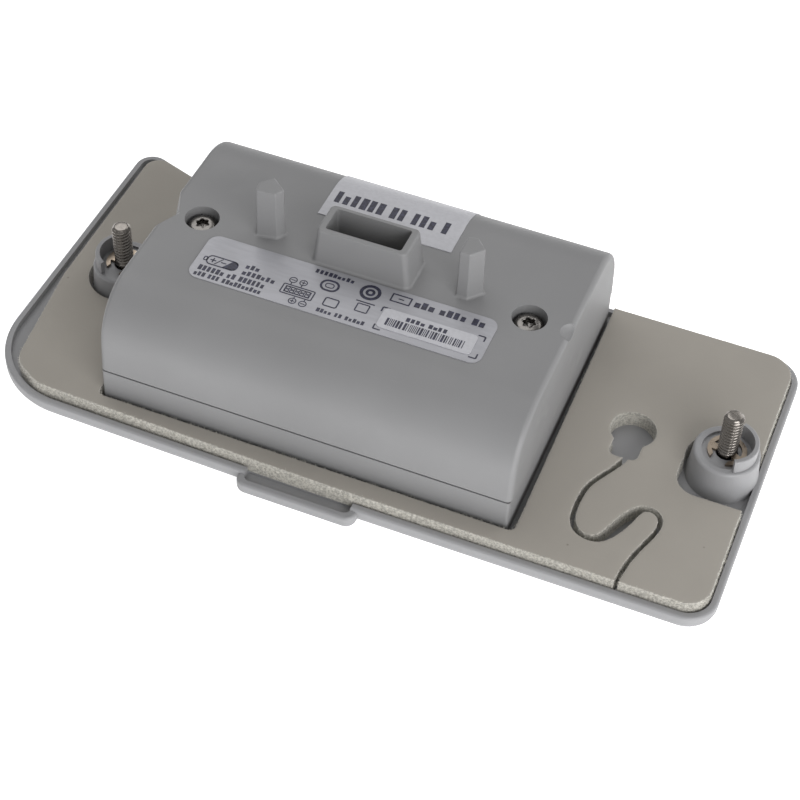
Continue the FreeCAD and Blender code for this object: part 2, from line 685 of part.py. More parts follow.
def connector_block():
    """The insulating block in the shroud, with one slot for each contact."""
    w, d = SHROUD_OPENING
    w, d = w / 2 - BLOCK_PLAY, d / 2 - BLOCK_PLAY
    body = slab(rectangle(-w, w, SHROUD_Y - d, SHROUD_Y + d, OPENING_CORNER_R), BOARD_TOP, BLOCK_TOP)
    half, reach, depth = CONTACT_SLOT
    slots = []
    for x in contact_places():
        slots.append(box(x - half, x + half, SHROUD_Y - reach, SHROUD_Y + reach, BLOCK_TOP - depth, ABOVE))
    return in_pack(body.cut(slots))


def contact_places():
    """The X places of the contacts."""
    return [(i - (CONTACT_COUNT - 1) / 2) * CONTACT_PITCH for i in range(CONTACT_COUNT)]


def connector_contacts():
    """The forked spring contacts."""
    half, reach, foot, tip = CONTACT_SIZE
    solids = []
    for x in contact_places():
        outer = box(x - half, x + half, SHROUD_Y - reach, SHROUD_Y + reach, BLOCK_TOP - foot, BLOCK_TOP - tip)
        inner = reach - CONTACT_LEAF
        fork = box(x - CONTACT_PITCH, x + CONTACT_PITCH, SHROUD_Y - inner, SHROUD_Y + inner,
                   BLOCK_TOP - foot + 0.75 * CONTACT_LEAF, ABOVE)
        solids.append(in_pack(outer.cut(fork)))
    return Part.makeCompound(solids)


def cell_pads():
    """Soft strips between the case floor and the cells, one each side of the middle rib."""
    length, width, starts = PAD
    solids = []
    floor = DOOR_FLOOR + CASE_FLOOR
    for y in (-CELL_Y, CELL_Y):
        for x in starts:
            pad = box(x, x + length, y - width / 2, y + width / 2, floor, CELL_Z - CELL_R - SLEEVE)
            solids.append(in_pack(pad))
    return Part.makeCompound(solids)


def end_cards():
    """Insulating cards between the welded strips and the case ends."""
    half, below, above, thick = CARD
    x0 = CASE_END - END_WALL - TONGUE_W - 0.45
    cards = []
    for side in (-1, 1):
        a, b = sorted((side * x0, side * (x0 + thick)))
        for y in (-CELL_Y, CELL_Y):
            cards.append(in_pack(box(a, b, y - half, y + half, CELL_Z - below, CELL_Z + above)))
    return Part.makeCompound(cards)


# ---- labels --------------------------------------------------------------------------------------

def flat_label(bounds, corner, z):
    """A flat label on a level face at height z."""
    x0, x1, y0, y1 = bounds
    return in_pack(slab(rectangle(x0, x1, y0, y1, corner), z, z + LABEL_T))


def inspection_label():
    """The inspection sticker, flat at its front and wrapped over the back shoulder."""
    x0, x1, y0 = INSPECTION_LABEL
    flat = box(x0, x1, y0, CELL_Y, CASE_TOP, CASE_TOP + LABEL_T)
    bend = along_x(ROUND_R + LABEL_T, x0, x1, CELL_Y).cut(along_x(ROUND_R, x0 - 1, x1 + 1, CELL_Y))
    wrap = math.radians(INSPECTION_WRAP)
    reach = 2 * ROUND_R
    ring = Part.makePolygon([V(x0 - 1, CELL_Y, CELL_Z), V(x0 - 1, CELL_Y, CELL_Z + reach),
                             V(x0 - 1, CELL_Y + reach * math.tan(wrap / 2), CELL_Z + reach),
                             V(x0 - 1, CELL_Y + reach * math.sin(wrap), CELL_Z + reach * math.cos(wrap)),
                             V(x0 - 1, CELL_Y, CELL_Z)])
    sector = Part.Face(ring).extrude(V(x1 - x0 + 2, 0, 0))
    return in_pack(flat.fuse(bend.common(sector)))


# ---- captive screws ------------------------------------------------------------------------------

def captive_screw(x):
    """A slotted captive screw: head below, stud above, with a groove for its clip."""
    head_top = STUD_HEAD_Z + STUD_HEAD_H
    head = tube(STUD_HEAD_R, x, LINE_Y, STUD_HEAD_Z, head_top)
    head = head.makeFillet(HEAD_EDGE_R, edges_at(head, STUD_HEAD_Z))
    neck = tube(NECK_R, x, LINE_Y, head_top - WELD, CLIP_Z)
    shank = tube(STUD_R, x, LINE_Y, CLIP_Z, STUD_TOP)
    shank = shank.makeChamfer(STUD_CHAMFER, edges_at(shank, STUD_TOP))
    groove = tube(2 * STUD_R, x, LINE_Y, CLIP_Z - GROOVE_PLAY, CLIP_Z + CLIP_T + GROOVE_PLAY)
    groove = groove.cut(tube(GROOVE_R, x, LINE_Y, BELOW, ABOVE))
    half = DRIVE_SLOT_W / 2
    slot = box(x - HEAD_POCKET_R, x + HEAD_POCKET_R, LINE_Y - half, LINE_Y + half, BELOW, DRIVE_SLOT_TOP)
    return head.fuse([neck, shank]).cut([groove, slot])


def retaining_clip(x):
    """A three-prong retaining clip, open towards the gap in the collar."""
    ring = tube(CLIP_R, x, LINE_Y, CLIP_Z, CLIP_Z + CLIP_T)
    ring = ring.cut(tube(CLIP_R - CLIP_RING_W, x, LINE_Y, BELOW, ABOVE))
    prongs = []
    for i in (-1, 0, 1):
        half = PRONG_W / 2
        prong = box(0, CLIP_R - CLIP_RING_W / 4, -half, half, CLIP_Z, CLIP_Z + CLIP_T)
        prong.rotate(V(0, 0, 0), V(0, 0, 1), CLIP_TURN + i * PRONG_STEP)
        prong.translate(V(x, LINE_Y, 0))
        prongs.append(prong)
    mouth = box(-2 * CLIP_R, 0, -MOUTH_W / 2, MOUTH_W / 2, BELOW, ABOVE)
    mouth.rotate(V(0, 0, 0), V(0, 0, 1), CLIP_TURN)
    mouth.translate(V(x, LINE_Y, 0))
    return ring.fuse(prongs).cut([tube(CLIP_BORE_R, x, LINE_Y, BELOW, ABOVE), mouth])


# ---- all nodes -----------------------------------------------------------------------------------

save(cover_plate(), "cover_plate")
save(foam_pad(), "foam_pad")
save(case_base(), "case_base")
save(case_cover(), "case_cover")
save(case_screws(), "case_screws")
save(threaded_inserts(), "threaded_inserts")
save(cell(-CELL_Y, 1), "cell_front")
save(cell(CELL_Y, -1), "cell_rear")
save(cell_sleeves(), "cell_sleeves")
save(insulator_rings(), "insulator_rings")
save(series_link(), "series_link")
save(end_tab(-1), "tab_positive")
save(end_tab(1), "tab_negative")
save(protection_board(), "protection_board")
save(board_parts([(-18, -2, 5, 4), (-10, -2.2, 6, 4.4), (14, -2, 5, 4)], 1.2), "board_chips")
save(board_parts([(-22, 4, 1.6, 0.8), (-22, -4.8, 1.6, 0.8), (-1.5, 4, 2, 1.2), (20.5, 3, 1.6, 0.8)], 0.7),
     "board_passives")
save(board_parts([(-1.0, -3.2, 7.0, 3.6)], 0.9), "resettable_fuse")
save(thermistor(), "thermistor")
save(connector_block(), "connector_block")
save(connector_contacts(), "connector_contacts")
save(cell_pads(), "cell_pads")
save(end_cards(), "end_cards")
save(flat_label(MAIN_LABEL, LABEL_CORNER_R[0], CASE_TOP), "main_label")
save(flat_label(SERIAL_LABEL, LABEL_CORNER_R[1], CASE_TOP + LABEL_T), "serial_label")
save(inspection_label(), "inspection_label")
for side, stud_x in zip(("left", "right"), STUD_X):
    save(captive_screw(stud_x), "captive_screw_" + side)
    save(retaining_clip(stud_x), "retaining_clip_" + side)
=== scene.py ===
"""Looks of a battery door with its two-cell pack, built round the packed CAD frame.

Every piece is in metres, in the frame's own axes: X along the door, Y across it, Z up.
"""
import math
import random

import bmesh
import bpy
from bpy.props import FloatProperty, FloatVectorProperty, IntProperty, PointerProperty
from mathutils import Matrix, Vector, kdtree, noise
from mathutils.geometry import delaunay_2d_cdt


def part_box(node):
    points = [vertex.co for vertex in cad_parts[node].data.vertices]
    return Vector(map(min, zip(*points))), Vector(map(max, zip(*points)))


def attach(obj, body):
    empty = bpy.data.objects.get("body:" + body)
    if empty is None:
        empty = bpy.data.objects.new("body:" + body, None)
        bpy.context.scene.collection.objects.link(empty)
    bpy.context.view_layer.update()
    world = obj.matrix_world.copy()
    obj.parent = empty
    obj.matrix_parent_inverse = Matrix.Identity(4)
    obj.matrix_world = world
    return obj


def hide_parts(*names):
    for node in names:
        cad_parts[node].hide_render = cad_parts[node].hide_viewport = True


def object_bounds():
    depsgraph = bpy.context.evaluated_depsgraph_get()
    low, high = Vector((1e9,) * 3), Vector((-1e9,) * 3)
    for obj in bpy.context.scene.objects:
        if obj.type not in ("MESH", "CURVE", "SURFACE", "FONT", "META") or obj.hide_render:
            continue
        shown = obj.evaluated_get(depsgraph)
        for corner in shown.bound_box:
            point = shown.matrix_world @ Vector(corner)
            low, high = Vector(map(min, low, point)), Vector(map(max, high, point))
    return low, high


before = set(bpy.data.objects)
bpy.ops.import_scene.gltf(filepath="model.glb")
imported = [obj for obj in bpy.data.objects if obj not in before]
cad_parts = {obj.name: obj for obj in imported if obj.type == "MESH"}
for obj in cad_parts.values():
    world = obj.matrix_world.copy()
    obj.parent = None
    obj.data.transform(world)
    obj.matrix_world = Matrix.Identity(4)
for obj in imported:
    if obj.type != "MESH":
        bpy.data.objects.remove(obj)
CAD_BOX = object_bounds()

bl_info = {
    "name": "Battery Door",
    "version": (1, 0, 0),
    "blender": (4, 5, 0),
    "location": "3D View > Sidebar > Battery Door",
    "description": "Finishes a battery door and its pack: foam, screws, labels, materials and stage",
    "category": "Object",
}

MM = 0.001
DOOR = "door"
CENTRE = (CAD_BOX[0] + CAD_BOX[1]) / 2
FLOOR_Z = -0.05 * MM

# Sizes of the captive screws and the case screws, which their CAD solids share.
STUD_R = 1.75 * MM
NECK_R = 1.5 * MM
GROOVE_R = 1.35 * MM
STUD_HEAD_H = 2.2 * MM
STUD_HEAD_EDGE = 0.5 * MM
DRIVE_SLOT_W = 1.0 * MM
DRIVE_SLOT_DEPTH = 1.1 * MM
CASE_HEAD_R = 2.7 * MM
CASE_HEAD_H = 1.9 * MM
CASE_SHANK_R = 1.45 * MM


# ---- settings --------------------------------------------------------------------------------

def length(name, description, default):
    """A length property, given in metres."""
    return FloatProperty(name=name, description=description, default=default, unit="LENGTH", precision=5)


def colour(name, description, default):
    """A linear RGB colour property."""
    return FloatVectorProperty(name=name, description=description, default=default, size=3,
                               subtype="COLOR", min=0.0, max=1.0)


class PlasticSettings(bpy.types.PropertyGroup):
    """Colours and grain of the two mouldings."""

    door: colour("Door", "Colour of the moulded door", (0.285, 0.285, 0.293))
    case: colour("Case", "Colour of the pack's case", (0.232, 0.232, 0.236))
    grain: length("Grain depth", "Depth of the moulded texture", 0.012 * MM)


class FoamSettings(bpy.types.PropertyGroup):
    """Shape and colours of the foam gasket."""

    skin: colour("Skin", "Colour of the smooth top skin", (0.330, 0.307, 0.272))
    cut: colour("Cut face", "Colour of the open cells where the foam is cut", (0.49, 0.472, 0.425))
    step: length("Edge step", "Spacing of the points along the cut edges", 0.24 * MM)
    ragged: length("Raggedness", "How deep the cut faces are torn", 0.30 * MM)
    fibre_length: length("Fibre length", "Length of the torn fibres", 0.55 * MM)
    fibre_density: FloatProperty(name="Fibre density", default=9.0, min=0.0, max=40.0,
                                 description="Fibres to a square millimetre of cut face")
    seed: IntProperty(name="Seed", description="Seed of the torn edge", default=7)


class ScrewSettings(bpy.types.PropertyGroup):
    """Thread and sockets of the screws."""

    pitch: length("Pitch", "Thread pitch of the captive screws", 0.72 * MM)
    depth: length("Thread depth", "Depth of the captive screws' thread", 0.34 * MM)
    columns: IntProperty(name="Columns", description="Faces round a screw", default=44, min=12, max=96)
    socket: length("Socket radius", "Mean radius of the case screws' six-lobe socket", 1.05 * MM)


class LabelSettings(bpy.types.PropertyGroup):
    """Films and printed marks of the labels."""

    silver: colour("Silver film", "Colour of the main label", (0.36, 0.36, 0.385))
    white: colour("White film", "Colour of the stickers", (0.50, 0.50, 0.53))
    ink: colour("Ink", "Colour of the printed marks", (0.018, 0.018, 0.035))
    ink_height: length("Ink height", "Thickness of the printed marks", 0.02 * MM)
    seed: IntProperty(name="Seed", description="Seed of the marks' widths", default=11)


class StageSettings(bpy.types.PropertyGroup):
    """Camera, lights and floor."""

    camera_place: FloatVectorProperty(name="Camera place", description="Where the camera stands", size=3,
                                      subtype="TRANSLATION", unit="LENGTH", precision=5,
                                      default=(0.08374, -0.22129, 0.25431))
    camera_turn: FloatVectorProperty(name="Camera turn", description="How the camera is turned", size=3,
                                     subtype="EULER", unit="ROTATION",
                                     default=[math.radians(a) for a in (42.338, -1.595, 22.161)])
    lens: FloatProperty(name="Lens", description="Focal length on a 36 mm sensor", default=86.17,
                        unit="CAMERA")
    floor: colour("Floor", "Colour of the floor", (0.93, 0.93, 0.93))
    key: FloatProperty(name="Key light", description="Power of the large soft light", default=2.3,
                       unit="POWER")
    fill: FloatProperty(name="Fill light", description="Power of the front light", default=6.6, unit="POWER")
    back: FloatProperty(name="Back light", description="Power of the light behind", default=1.6, unit="POWER")
    glow: FloatProperty(name="Floor glow", description="Light given off by the floor", default=0.75)
    world: FloatProperty(name="Room light", description="Strength of the even light all round", default=0.38)


SETTINGS = {
    "door_plastic": PlasticSettings,
    "door_foam": FoamSettings,
    "door_screws": ScrewSettings,
    "door_labels": LabelSettings,
    "door_stage": StageSettings,
}


# ---- node trees ------------------------------------------------------------------------------

def place(tree, kind, inputs=None, **settings):
    """Adds one node, sets its settings, and fills or links its inputs."""
    made = tree.nodes.new(kind)
    for name, value in settings.items():
        setattr(made, name, value)
    for key, value in (inputs or {}).items():
        if isinstance(value, bpy.types.NodeSocket):
            tree.links.new(value, made.inputs[key])
        else:
            made.inputs[key].default_value = value
    return made


def noise_at(tree, vector, scale, detail=3.0, roughness=0.55):
    """A noise value over a vector."""
    return place(tree, "ShaderNodeTexNoise",
                 {"Vector": vector, "Scale": scale, "Detail": detail, "Roughness": roughness}).outputs["Fac"]


def remap(tree, value, low, high, to_low=0.0, to_high=1.0):
    """Maps a value's range onto another, smoothly and with ends held."""
    made = place(tree, "ShaderNodeMapRange",
                 {"Value": value, "From Min": low, "From Max": high, "To Min": to_low, "To Max": to_high},
                 interpolation_type="SMOOTHSTEP")
    return made.outputs["Result"]


def math_of(tree, operation, *values):
    """A math node over sockets or numbers."""
    return place(tree, "ShaderNodeMath", dict(enumerate(values)), operation=operation).outputs[0]


def mixed(tree, share, first, second, blend="MIX"):
    """A colour mix of two colours or sockets."""
    ends = [(*c, 1.0) if isinstance(c, tuple) and len(c) == 3 else c for c in (first, second)]
    made = place(tree, "ShaderNodeMix", data_type="RGBA", blend_type=blend)
    for socket, value in zip((made.inputs[0], made.inputs[6], made.inputs[7]), (share, *ends)):
        if isinstance(value, bpy.types.NodeSocket):
            tree.links.new(value, socket)
        else:
            socket.default_value = value
    return made.outputs[2]


def object_place(tree):
    """The object coordinates."""
    return place(tree, "ShaderNodeTexCoord").outputs["Object"]


def shared_group(name, inputs, outputs, build):
    """A shader group that is built once and then found by name."""
    found = bpy.data.node_groups.get(name)
    if found:
        return found
    tree = bpy.data.node_groups.new(name, "ShaderNodeTree")
    for title, kind, value in inputs:
        socket = tree.interface.new_socket(title, in_out="INPUT", socket_type=kind)
        if value is not None:
            socket.default_value = value
    for title, kind in outputs:
        tree.interface.new_socket(title, in_out="OUTPUT", socket_type=kind)
    start = tree.nodes.new("NodeGroupInput")
    end = tree.nodes.new("NodeGroupOutput")
    for title, socket in build(tree, start.outputs).items():
        tree.links.new(socket, end.inputs[title])
    return tree


def use_group(tree, group, inputs):
    """Places a shared group in a material."""
    made = tree.nodes.new("ShaderNodeGroup")
    made.node_tree = group
    for key, value in inputs.items():
        if isinstance(value, bpy.types.NodeSocket):
            tree.links.new(value, made.inputs[key])
        else:
            made.inputs[key].default_value = value
    return made.outputs


FLOAT = "NodeSocketFloat"
VECTOR = "NodeSocketVector"


def moulded_grain():
    """Group: the fine stipple of a moulded surface and its slow change of tone."""
    def build(tree, given):
        """Fills the group's tree."""
        fine = noise_at(tree, given["Vector"], given["Fine scale"], 2.0, 0.6)
        slow = noise_at(tree, given["Vector"], given["Slow scale"], 3.0, 0.5)
        return {"Height": fine, "Tone": remap(tree, slow, 0.3, 0.7)}
    return shared_group("moulded grain",
                        [("Vector", VECTOR, None), ("Fine scale", FLOAT, 5000.0), ("Slow scale", FLOAT, 60.0)],
                        [("Height", FLOAT), ("Tone", FLOAT)], build)


def handling_marks():
    """Group: soft smudges and hairline scratches, as one mask."""
    def build(tree, given):
        """Fills the group's tree."""
        stretched = place(tree, "ShaderNodeMapping", {"Vector": given["Vector"], "Rotation": (0.0, 0.0, 0.6),
                                                      "Scale": (1.0, 14.0, 1.0)}).outputs[0]
        hair = noise_at(tree, stretched, given["Scratch scale"], 2.0, 0.7)
        hair = remap(tree, hair, 0.70, 0.76)
        smudge = remap(tree, noise_at(tree, given["Vector"], given["Smudge scale"], 4.0, 0.65), 0.50, 0.72)
        return {"Scratches": hair, "Smudges": smudge}
    return shared_group("handling marks",
                        [("Vector", VECTOR, None), ("Scratch scale", FLOAT, 220.0), ("Smudge scale", FLOAT, 45.0)],
                        [("Scratches", FLOAT), ("Smudges", FLOAT)], build)


def dark_specks():
    """Group: a few tiny dark specks of dirt."""
    def build(tree, given):
        """Fills the group's tree."""
        cells = place(tree, "ShaderNodeTexVoronoi", {"Vector": given["Vector"], "Scale": given["Scale"]})
        near = remap(tree, cells.outputs["Distance"], 0.0, given["Size"], 1.0, 0.0)
        chosen = place(tree, "ShaderNodeSeparateColor", {"Color": cells.outputs["Color"]}).outputs[0]
        few = math_of(tree, "GREATER_THAN", chosen, given["Keep above"])
        return {"Mask": math_of(tree, "MULTIPLY", near, few)}
    return shared_group("dark specks",
                        [("Vector", VECTOR, None), ("Scale", FLOAT, 260.0), ("Size", FLOAT, 0.035),
                         ("Keep above", FLOAT, 0.9)],
                        [("Mask", FLOAT)], build)


def new_material(name):
    """An empty material with its principled shader in place."""
    material = bpy.data.materials.new(name)
    material.use_nodes = True
    tree = material.node_tree
    tree.nodes.clear()
    shader = tree.nodes.new("ShaderNodeBsdfPrincipled")
    output = tree.nodes.new("ShaderNodeOutputMaterial")
    tree.links.new(shader.outputs[0], output.inputs[0])
    return material, tree, shader


def bump(tree, shader, height, distance, strength=1.0):
    """Bends the shader's normal by a height, in metres."""
    made = place(tree, "ShaderNodeBump", {"Height": height, "Distance": distance, "Strength": strength})
    tree.links.new(made.outputs[0], shader.inputs["Normal"])


def scaled(rgb, factor):
    """A colour made lighter or darker."""
    return tuple(min(1.0, c * factor) for c in rgb)


# ---- materials -------------------------------------------------------------------------------

def moulded_plastic(name, rgb, grain, gloss=0.46, specks=0.9):
    """A satin moulded plastic with fine stipple, faint smudges and specks."""
    material, tree, shader = new_material(name)
    where = object_place(tree)
    stipple = use_group(tree, moulded_grain(), {"Vector": where, "Fine scale": 5200.0, "Slow scale": 38.0})
    marks = use_group(tree, handling_marks(), {"Vector": where, "Scratch scale": 170.0, "Smudge scale": 52.0})
    dirt = use_group(tree, dark_specks(), {"Vector": where, "Scale": 240.0, "Size": 0.05,
                                           "Keep above": specks})
    tint = mixed(tree, stipple["Tone"], scaled(rgb, 0.965), scaled(rgb, 1.03))
    tint = mixed(tree, math_of(tree, "MULTIPLY", marks["Scratches"], 0.10), tint, scaled(rgb, 1.35))
    tint = mixed(tree, math_of(tree, "MULTIPLY", dirt["Mask"], 0.55), tint, scaled(rgb, 0.25))
    tree.links.new(tint, shader.inputs["Base Color"])
    rough = remap(tree, marks["Smudges"], 0.0, 1.0, gloss + 0.05, gloss - 0.05)
    tree.links.new(rough, shader.inputs["Roughness"])
    bump(tree, shader, stipple["Height"], grain)
    return material


def foam_finish(settings):
    """Closed-cell foam: a smooth mottled skin with painted shade beside the case's left-front foot, and open fuzzy
    cells where it is cut.
    """
    material, tree, shader = new_material("gasket foam")
    where = object_place(tree)
    cut = place(tree, "ShaderNodeAttribute", attribute_name="cut").outputs["Fac"]
    skin, open_cell = tuple(settings.skin), tuple(settings.cut)
    stipple = use_group(tree, moulded_grain(), {"Vector": where, "Fine scale": 1500.0, "Slow scale": 42.0})
    dirt = use_group(tree, dark_specks(), {"Vector": where, "Scale": 190.0, "Size": 0.06, "Keep above": 0.88})
    tint = mixed(tree, stipple["Tone"], scaled(skin, 0.955), scaled(skin, 1.04))
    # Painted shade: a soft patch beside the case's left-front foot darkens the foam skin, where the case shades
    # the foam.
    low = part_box("case_base")[0]
    foot_shade_place = Vector((low.x - 3.6 * MM, low.y + 8.5 * MM, 0.0))
    gap = place(tree, "ShaderNodeVectorMath", {0: where, 1: foot_shade_place}, operation="DISTANCE")
    away = gap.outputs["Value"]
    wobble = math_of(tree, "MULTIPLY", noise_at(tree, where, 300.0), 4.0 * MM)
    foot_shade = remap(tree, math_of(tree, "ADD", away, wobble), 2.5 * MM, 8.0 * MM, 0.30, 0.0)
    tint = mixed(tree, foot_shade, tint, scaled(skin, 0.55))
    tint = mixed(tree, math_of(tree, "MULTIPLY", dirt["Mask"], 0.6), tint, scaled(skin, 0.3))
    pits = remap(tree, noise_at(tree, where, 2600.0, 2.0, 0.6), 0.38, 0.60)
    torn = mixed(tree, pits, scaled(open_cell, 0.62), open_cell)
    tree.links.new(mixed(tree, remap(tree, cut, 0.15, 0.75), tint, torn), shader.inputs["Base Color"])
    shader.inputs["Roughness"].default_value = 0.82
    shader.inputs["Sheen Weight"].default_value = 0.25
    shader.inputs["Sheen Roughness"].default_value = 0.5
    height = math_of(tree, "MULTIPLY", stipple["Height"], remap(tree, cut, 0.1, 0.8, 0.35, 1.6))
    bump(tree, shader, height, 0.05 * MM)
    return material


def fibre_finish(settings):
    """The torn fibres along the foam's cut faces."""
    material, tree, shader = new_material("foam fibres")
    where = object_place(tree)
    tone = noise_at(tree, where, 900.0, 2.0)
    tint = mixed(tree, remap(tree, tone, 0.35, 0.65), scaled(tuple(settings.cut), 0.85),
                 scaled(tuple(settings.cut), 1.25))
    tree.links.new(tint, shader.inputs["Base Color"])
    shader.inputs["Roughness"].default_value = 0.8
    return material


def metal(name, rgb, rough=0.3, spread=0.12, brushed=(1.0, 1.0, 1.0), scale=900.0, relief=0.003 * MM):
    """A bare metal with fine machining marks and darker smudged patches."""
    material, tree, shader = new_material(name)
    where = object_place(tree)
    along = place(tree, "ShaderNodeMapping", {"Vector": where, "Scale": brushed}).outputs[0]
    lines = noise_at(tree, along, scale, 3.0, 0.6)
    marks = use_group(tree, handling_marks(), {"Vector": where, "Scratch scale": 500.0,
                                               "Smudge scale": 320.0})
    tint = mixed(tree, marks["Smudges"], rgb, scaled(rgb, 0.72))
    tint = mixed(tree, math_of(tree, "MULTIPLY", lines, 0.35), tint, scaled(rgb, 0.85))
    tree.links.new(tint, shader.inputs["Base Color"])
    shader.inputs["Metallic"].default_value = 1.0
    tree.links.new(remap(tree, lines, 0.3, 0.7, rough - spread / 2, rough + spread / 2),
                   shader.inputs["Roughness"])
    bump(tree, shader, lines, relief)
    return material


def film(name, rgb, rough=0.38, brushed=(1.0, 1.0, 1.0), sheen=0.0):
    """A printed label film: even, faintly dimpled, with brushed lines where it is metallic."""
    material, tree, shader = new_material(name)
    where = object_place(tree)
    along = place(tree, "ShaderNodeMapping", {"Vector": where, "Scale": brushed}).outputs[0]
    lines = noise_at(tree, along, 1500.0, 2.0)
    wave = use_group(tree, moulded_grain(), {"Vector": where, "Fine scale": 700.0, "Slow scale": 110.0})
    tint = mixed(tree, remap(tree, lines, 0.35, 0.65), scaled(rgb, 0.965), scaled(rgb, 1.03))
    tree.links.new(tint, shader.inputs["Base Color"])
    shader.inputs["Metallic"].default_value = sheen
    tree.links.new(remap(tree, wave["Tone"], 0.0, 1.0, rough, rough + 0.08), shader.inputs["Roughness"])
    bump(tree, shader, wave["Height"], 0.006 * MM)
    return material


def card(name, rgb, rough=0.7, scale=2500.0, relief=0.01 * MM):
    """Fibrous card, ceramic, tape, resin or nylon: a matt body with a fine mottle."""
    material, tree, shader = new_material(name)
    where = object_place(tree)
    body = use_group(tree, moulded_grain(), {"Vector": where, "Fine scale": scale, "Slow scale": scale / 14})
    tint = mixed(tree, body["Tone"], scaled(rgb, 0.88), scaled(rgb, 1.08))
    tree.links.new(tint, shader.inputs["Base Color"])
    matt = remap(tree, body["Height"], 0.3, 0.7, rough - 0.06, rough + 0.06)
    tree.links.new(matt, shader.inputs["Roughness"])
    bump(tree, shader, body["Height"], relief)
    return material


def ink_finish(settings):
    """Printed ink: near black, with a slightly uneven lay."""
    material, tree, shader = new_material("label ink")
    where = object_place(tree)
    rgb = tuple(settings.ink)
    tint = mixed(tree, remap(tree, noise_at(tree, where, 1800.0, 2.0), 0.4, 0.7), rgb, scaled(rgb, 2.2))
    tree.links.new(tint, shader.inputs["Base Color"])
    shader.inputs["Roughness"].default_value = 0.42
    return material


def finish(nodes, material):
    """Gives CAD nodes a material."""
    for name in nodes:
        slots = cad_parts[name].data.materials
        if not slots:
            slots.append(material)
        for i in range(len(slots)):
            slots[i] = material


# ---- meshes ----------------------------------------------------------------------------------

def new_piece(name, mesh, material, body=DOOR, smooth=True):
    """Links a mesh as a finished piece that rides on a body."""
    if smooth:
        mesh.shade_smooth()
        mesh.set_sharp_from_angle(angle=math.radians(38))
    mesh.materials.clear()
    mesh.materials.append(material)
    piece = bpy.data.objects.new(name, mesh)
    bpy.context.scene.collection.objects.link(piece)
    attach(piece, body)
    return piece


def mesh_of(name, points, faces):
    """A mesh from points and faces, with its normals made to point outwards."""
    mesh = bpy.data.meshes.new(name)
    mesh.from_pydata(points, [], faces)
    work = bmesh.new()
    work.from_mesh(mesh)
    bmesh.ops.recalc_face_normals(work, faces=work.faces)
    work.to_mesh(mesh)
    work.free()
    return mesh


def as_plain_mesh(source):
    """The evaluated mesh of an object, free of its modifiers; the object is removed."""
    bpy.context.view_layer.update()
    graph = bpy.context.evaluated_depsgraph_get()
    mesh = bpy.data.meshes.new_from_object(source.evaluated_get(graph), depsgraph=graph)
    bpy.data.objects.remove(source)
    return mesh


def lathe(rings, columns, x, y):
    """Points and faces of a closed turned shape. A ring is (radius, height), or a function of the angle."""
    points = []
    faces = []
    for ring in rings:
        for i in range(columns):
            angle = math.tau * i / columns
            radius, height = ring(angle) if callable(ring) else ring
            points.append((x + radius * math.cos(angle), y + radius * math.sin(angle), height))
    for row in range(len(rings) - 1):
        for i in range(columns):
            a = row * columns + i
            b = row * columns + (i + 1) % columns
            faces.append((a, b, b + columns, a + columns))
    for row in (0, len(rings) - 1):
        pole = len(points)
        ends = points[row * columns:(row + 1) * columns]
        points.append((x, y, sum(p[2] for p in ends) / columns))
        for i in range(columns):
            faces.append((row * columns + i, row * columns + (i + 1) % columns, pole))
    return points, faces


# ---- foam gasket -----------------------------------------------------------------------------

def outline_loops(node, height):
    """The closed loops round a CAD node's flat top at one height, with the material on their left."""
    work = bmesh.new()
    work.from_mesh(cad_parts[node].data)
    bmesh.ops.remove_doubles(work, verts=work.verts, dist=0.002 * MM)
    onward = {}
    for face in work.faces:
        if face.normal.z < 0.9 or abs(face.calc_center_median().z - height) > 0.01 * MM:
            continue
        for corner in face.loops:
            others = [f for f in corner.edge.link_faces if f is not face]
            if others and others[0].normal.z < 0.5:
                onward[corner.vert.index] = corner.link_loop_next.vert.index
    places = {v.index: v.co.to_2d() for v in work.verts}
    work.free()
    loops = []
    while onward:
        first, here = onward.popitem()
        loop = [first]
        while here != first:
            loop.append(here)
            here = onward.pop(here)
        loops.append([places[i] for i in loop])
    return sorted(loops, key=len, reverse=True)


def evenly_spaced(loop, step):
    """Points at even steps round a closed loop."""
    runs = [(b - a).length for a, b in zip(loop, loop[1:] + loop[:1])]
    total = sum(runs)
    count = max(12, round(total / step))
    spaced = []
    index = 0
    passed = 0.0
    for i in range(count):
        goal = total * i / count
        while passed + runs[index] < goal:
            passed += runs[index]
            index += 1
        share = (goal - passed) / runs[index]
        spaced.append(loop[index].lerp(loop[(index + 1) % len(loop)], share))
    return spaced


def inward_normals(loop, window):
    """The direction into the material at each point, evened out over a window of points."""
    count = len(loop)
    straight = []
    for i in range(count):
        along = (loop[(i + 1) % count] - loop[i - 1]).normalized()
        straight.append(Vector((-along.y, along.x)))
    return [sum((straight[(i + j) % count] for j in range(-window, window + 1)), Vector((0.0, 0.0))).normalized()
            for i in range(count)]


# Rows of a cut face, from the skin downwards: inset, depth below the skin, share of tearing, cut.
CUT_ROWS = [
    (0.60, 0.00, 0.00, 0.0), (0.34, 0.02, 0.10, 0.2), (0.15, 0.09, 0.25, 0.6), (0.03, 0.24, 0.60, 1.0),
    (0.00, 0.45, 1.00, 1.0), (0.00, 0.70, 1.00, 1.0), (0.00, 0.95, 1.00, 1.0), (0.00, 1.20, 1.00, 1.0),
    (0.00, 1.50, 1.00, 1.0), (0.00, 1.80, 0.90, 1.0), (0.00, 2.20, 0.60, 1.0), (0.00, 2.70, 0.40, 1.0),
]


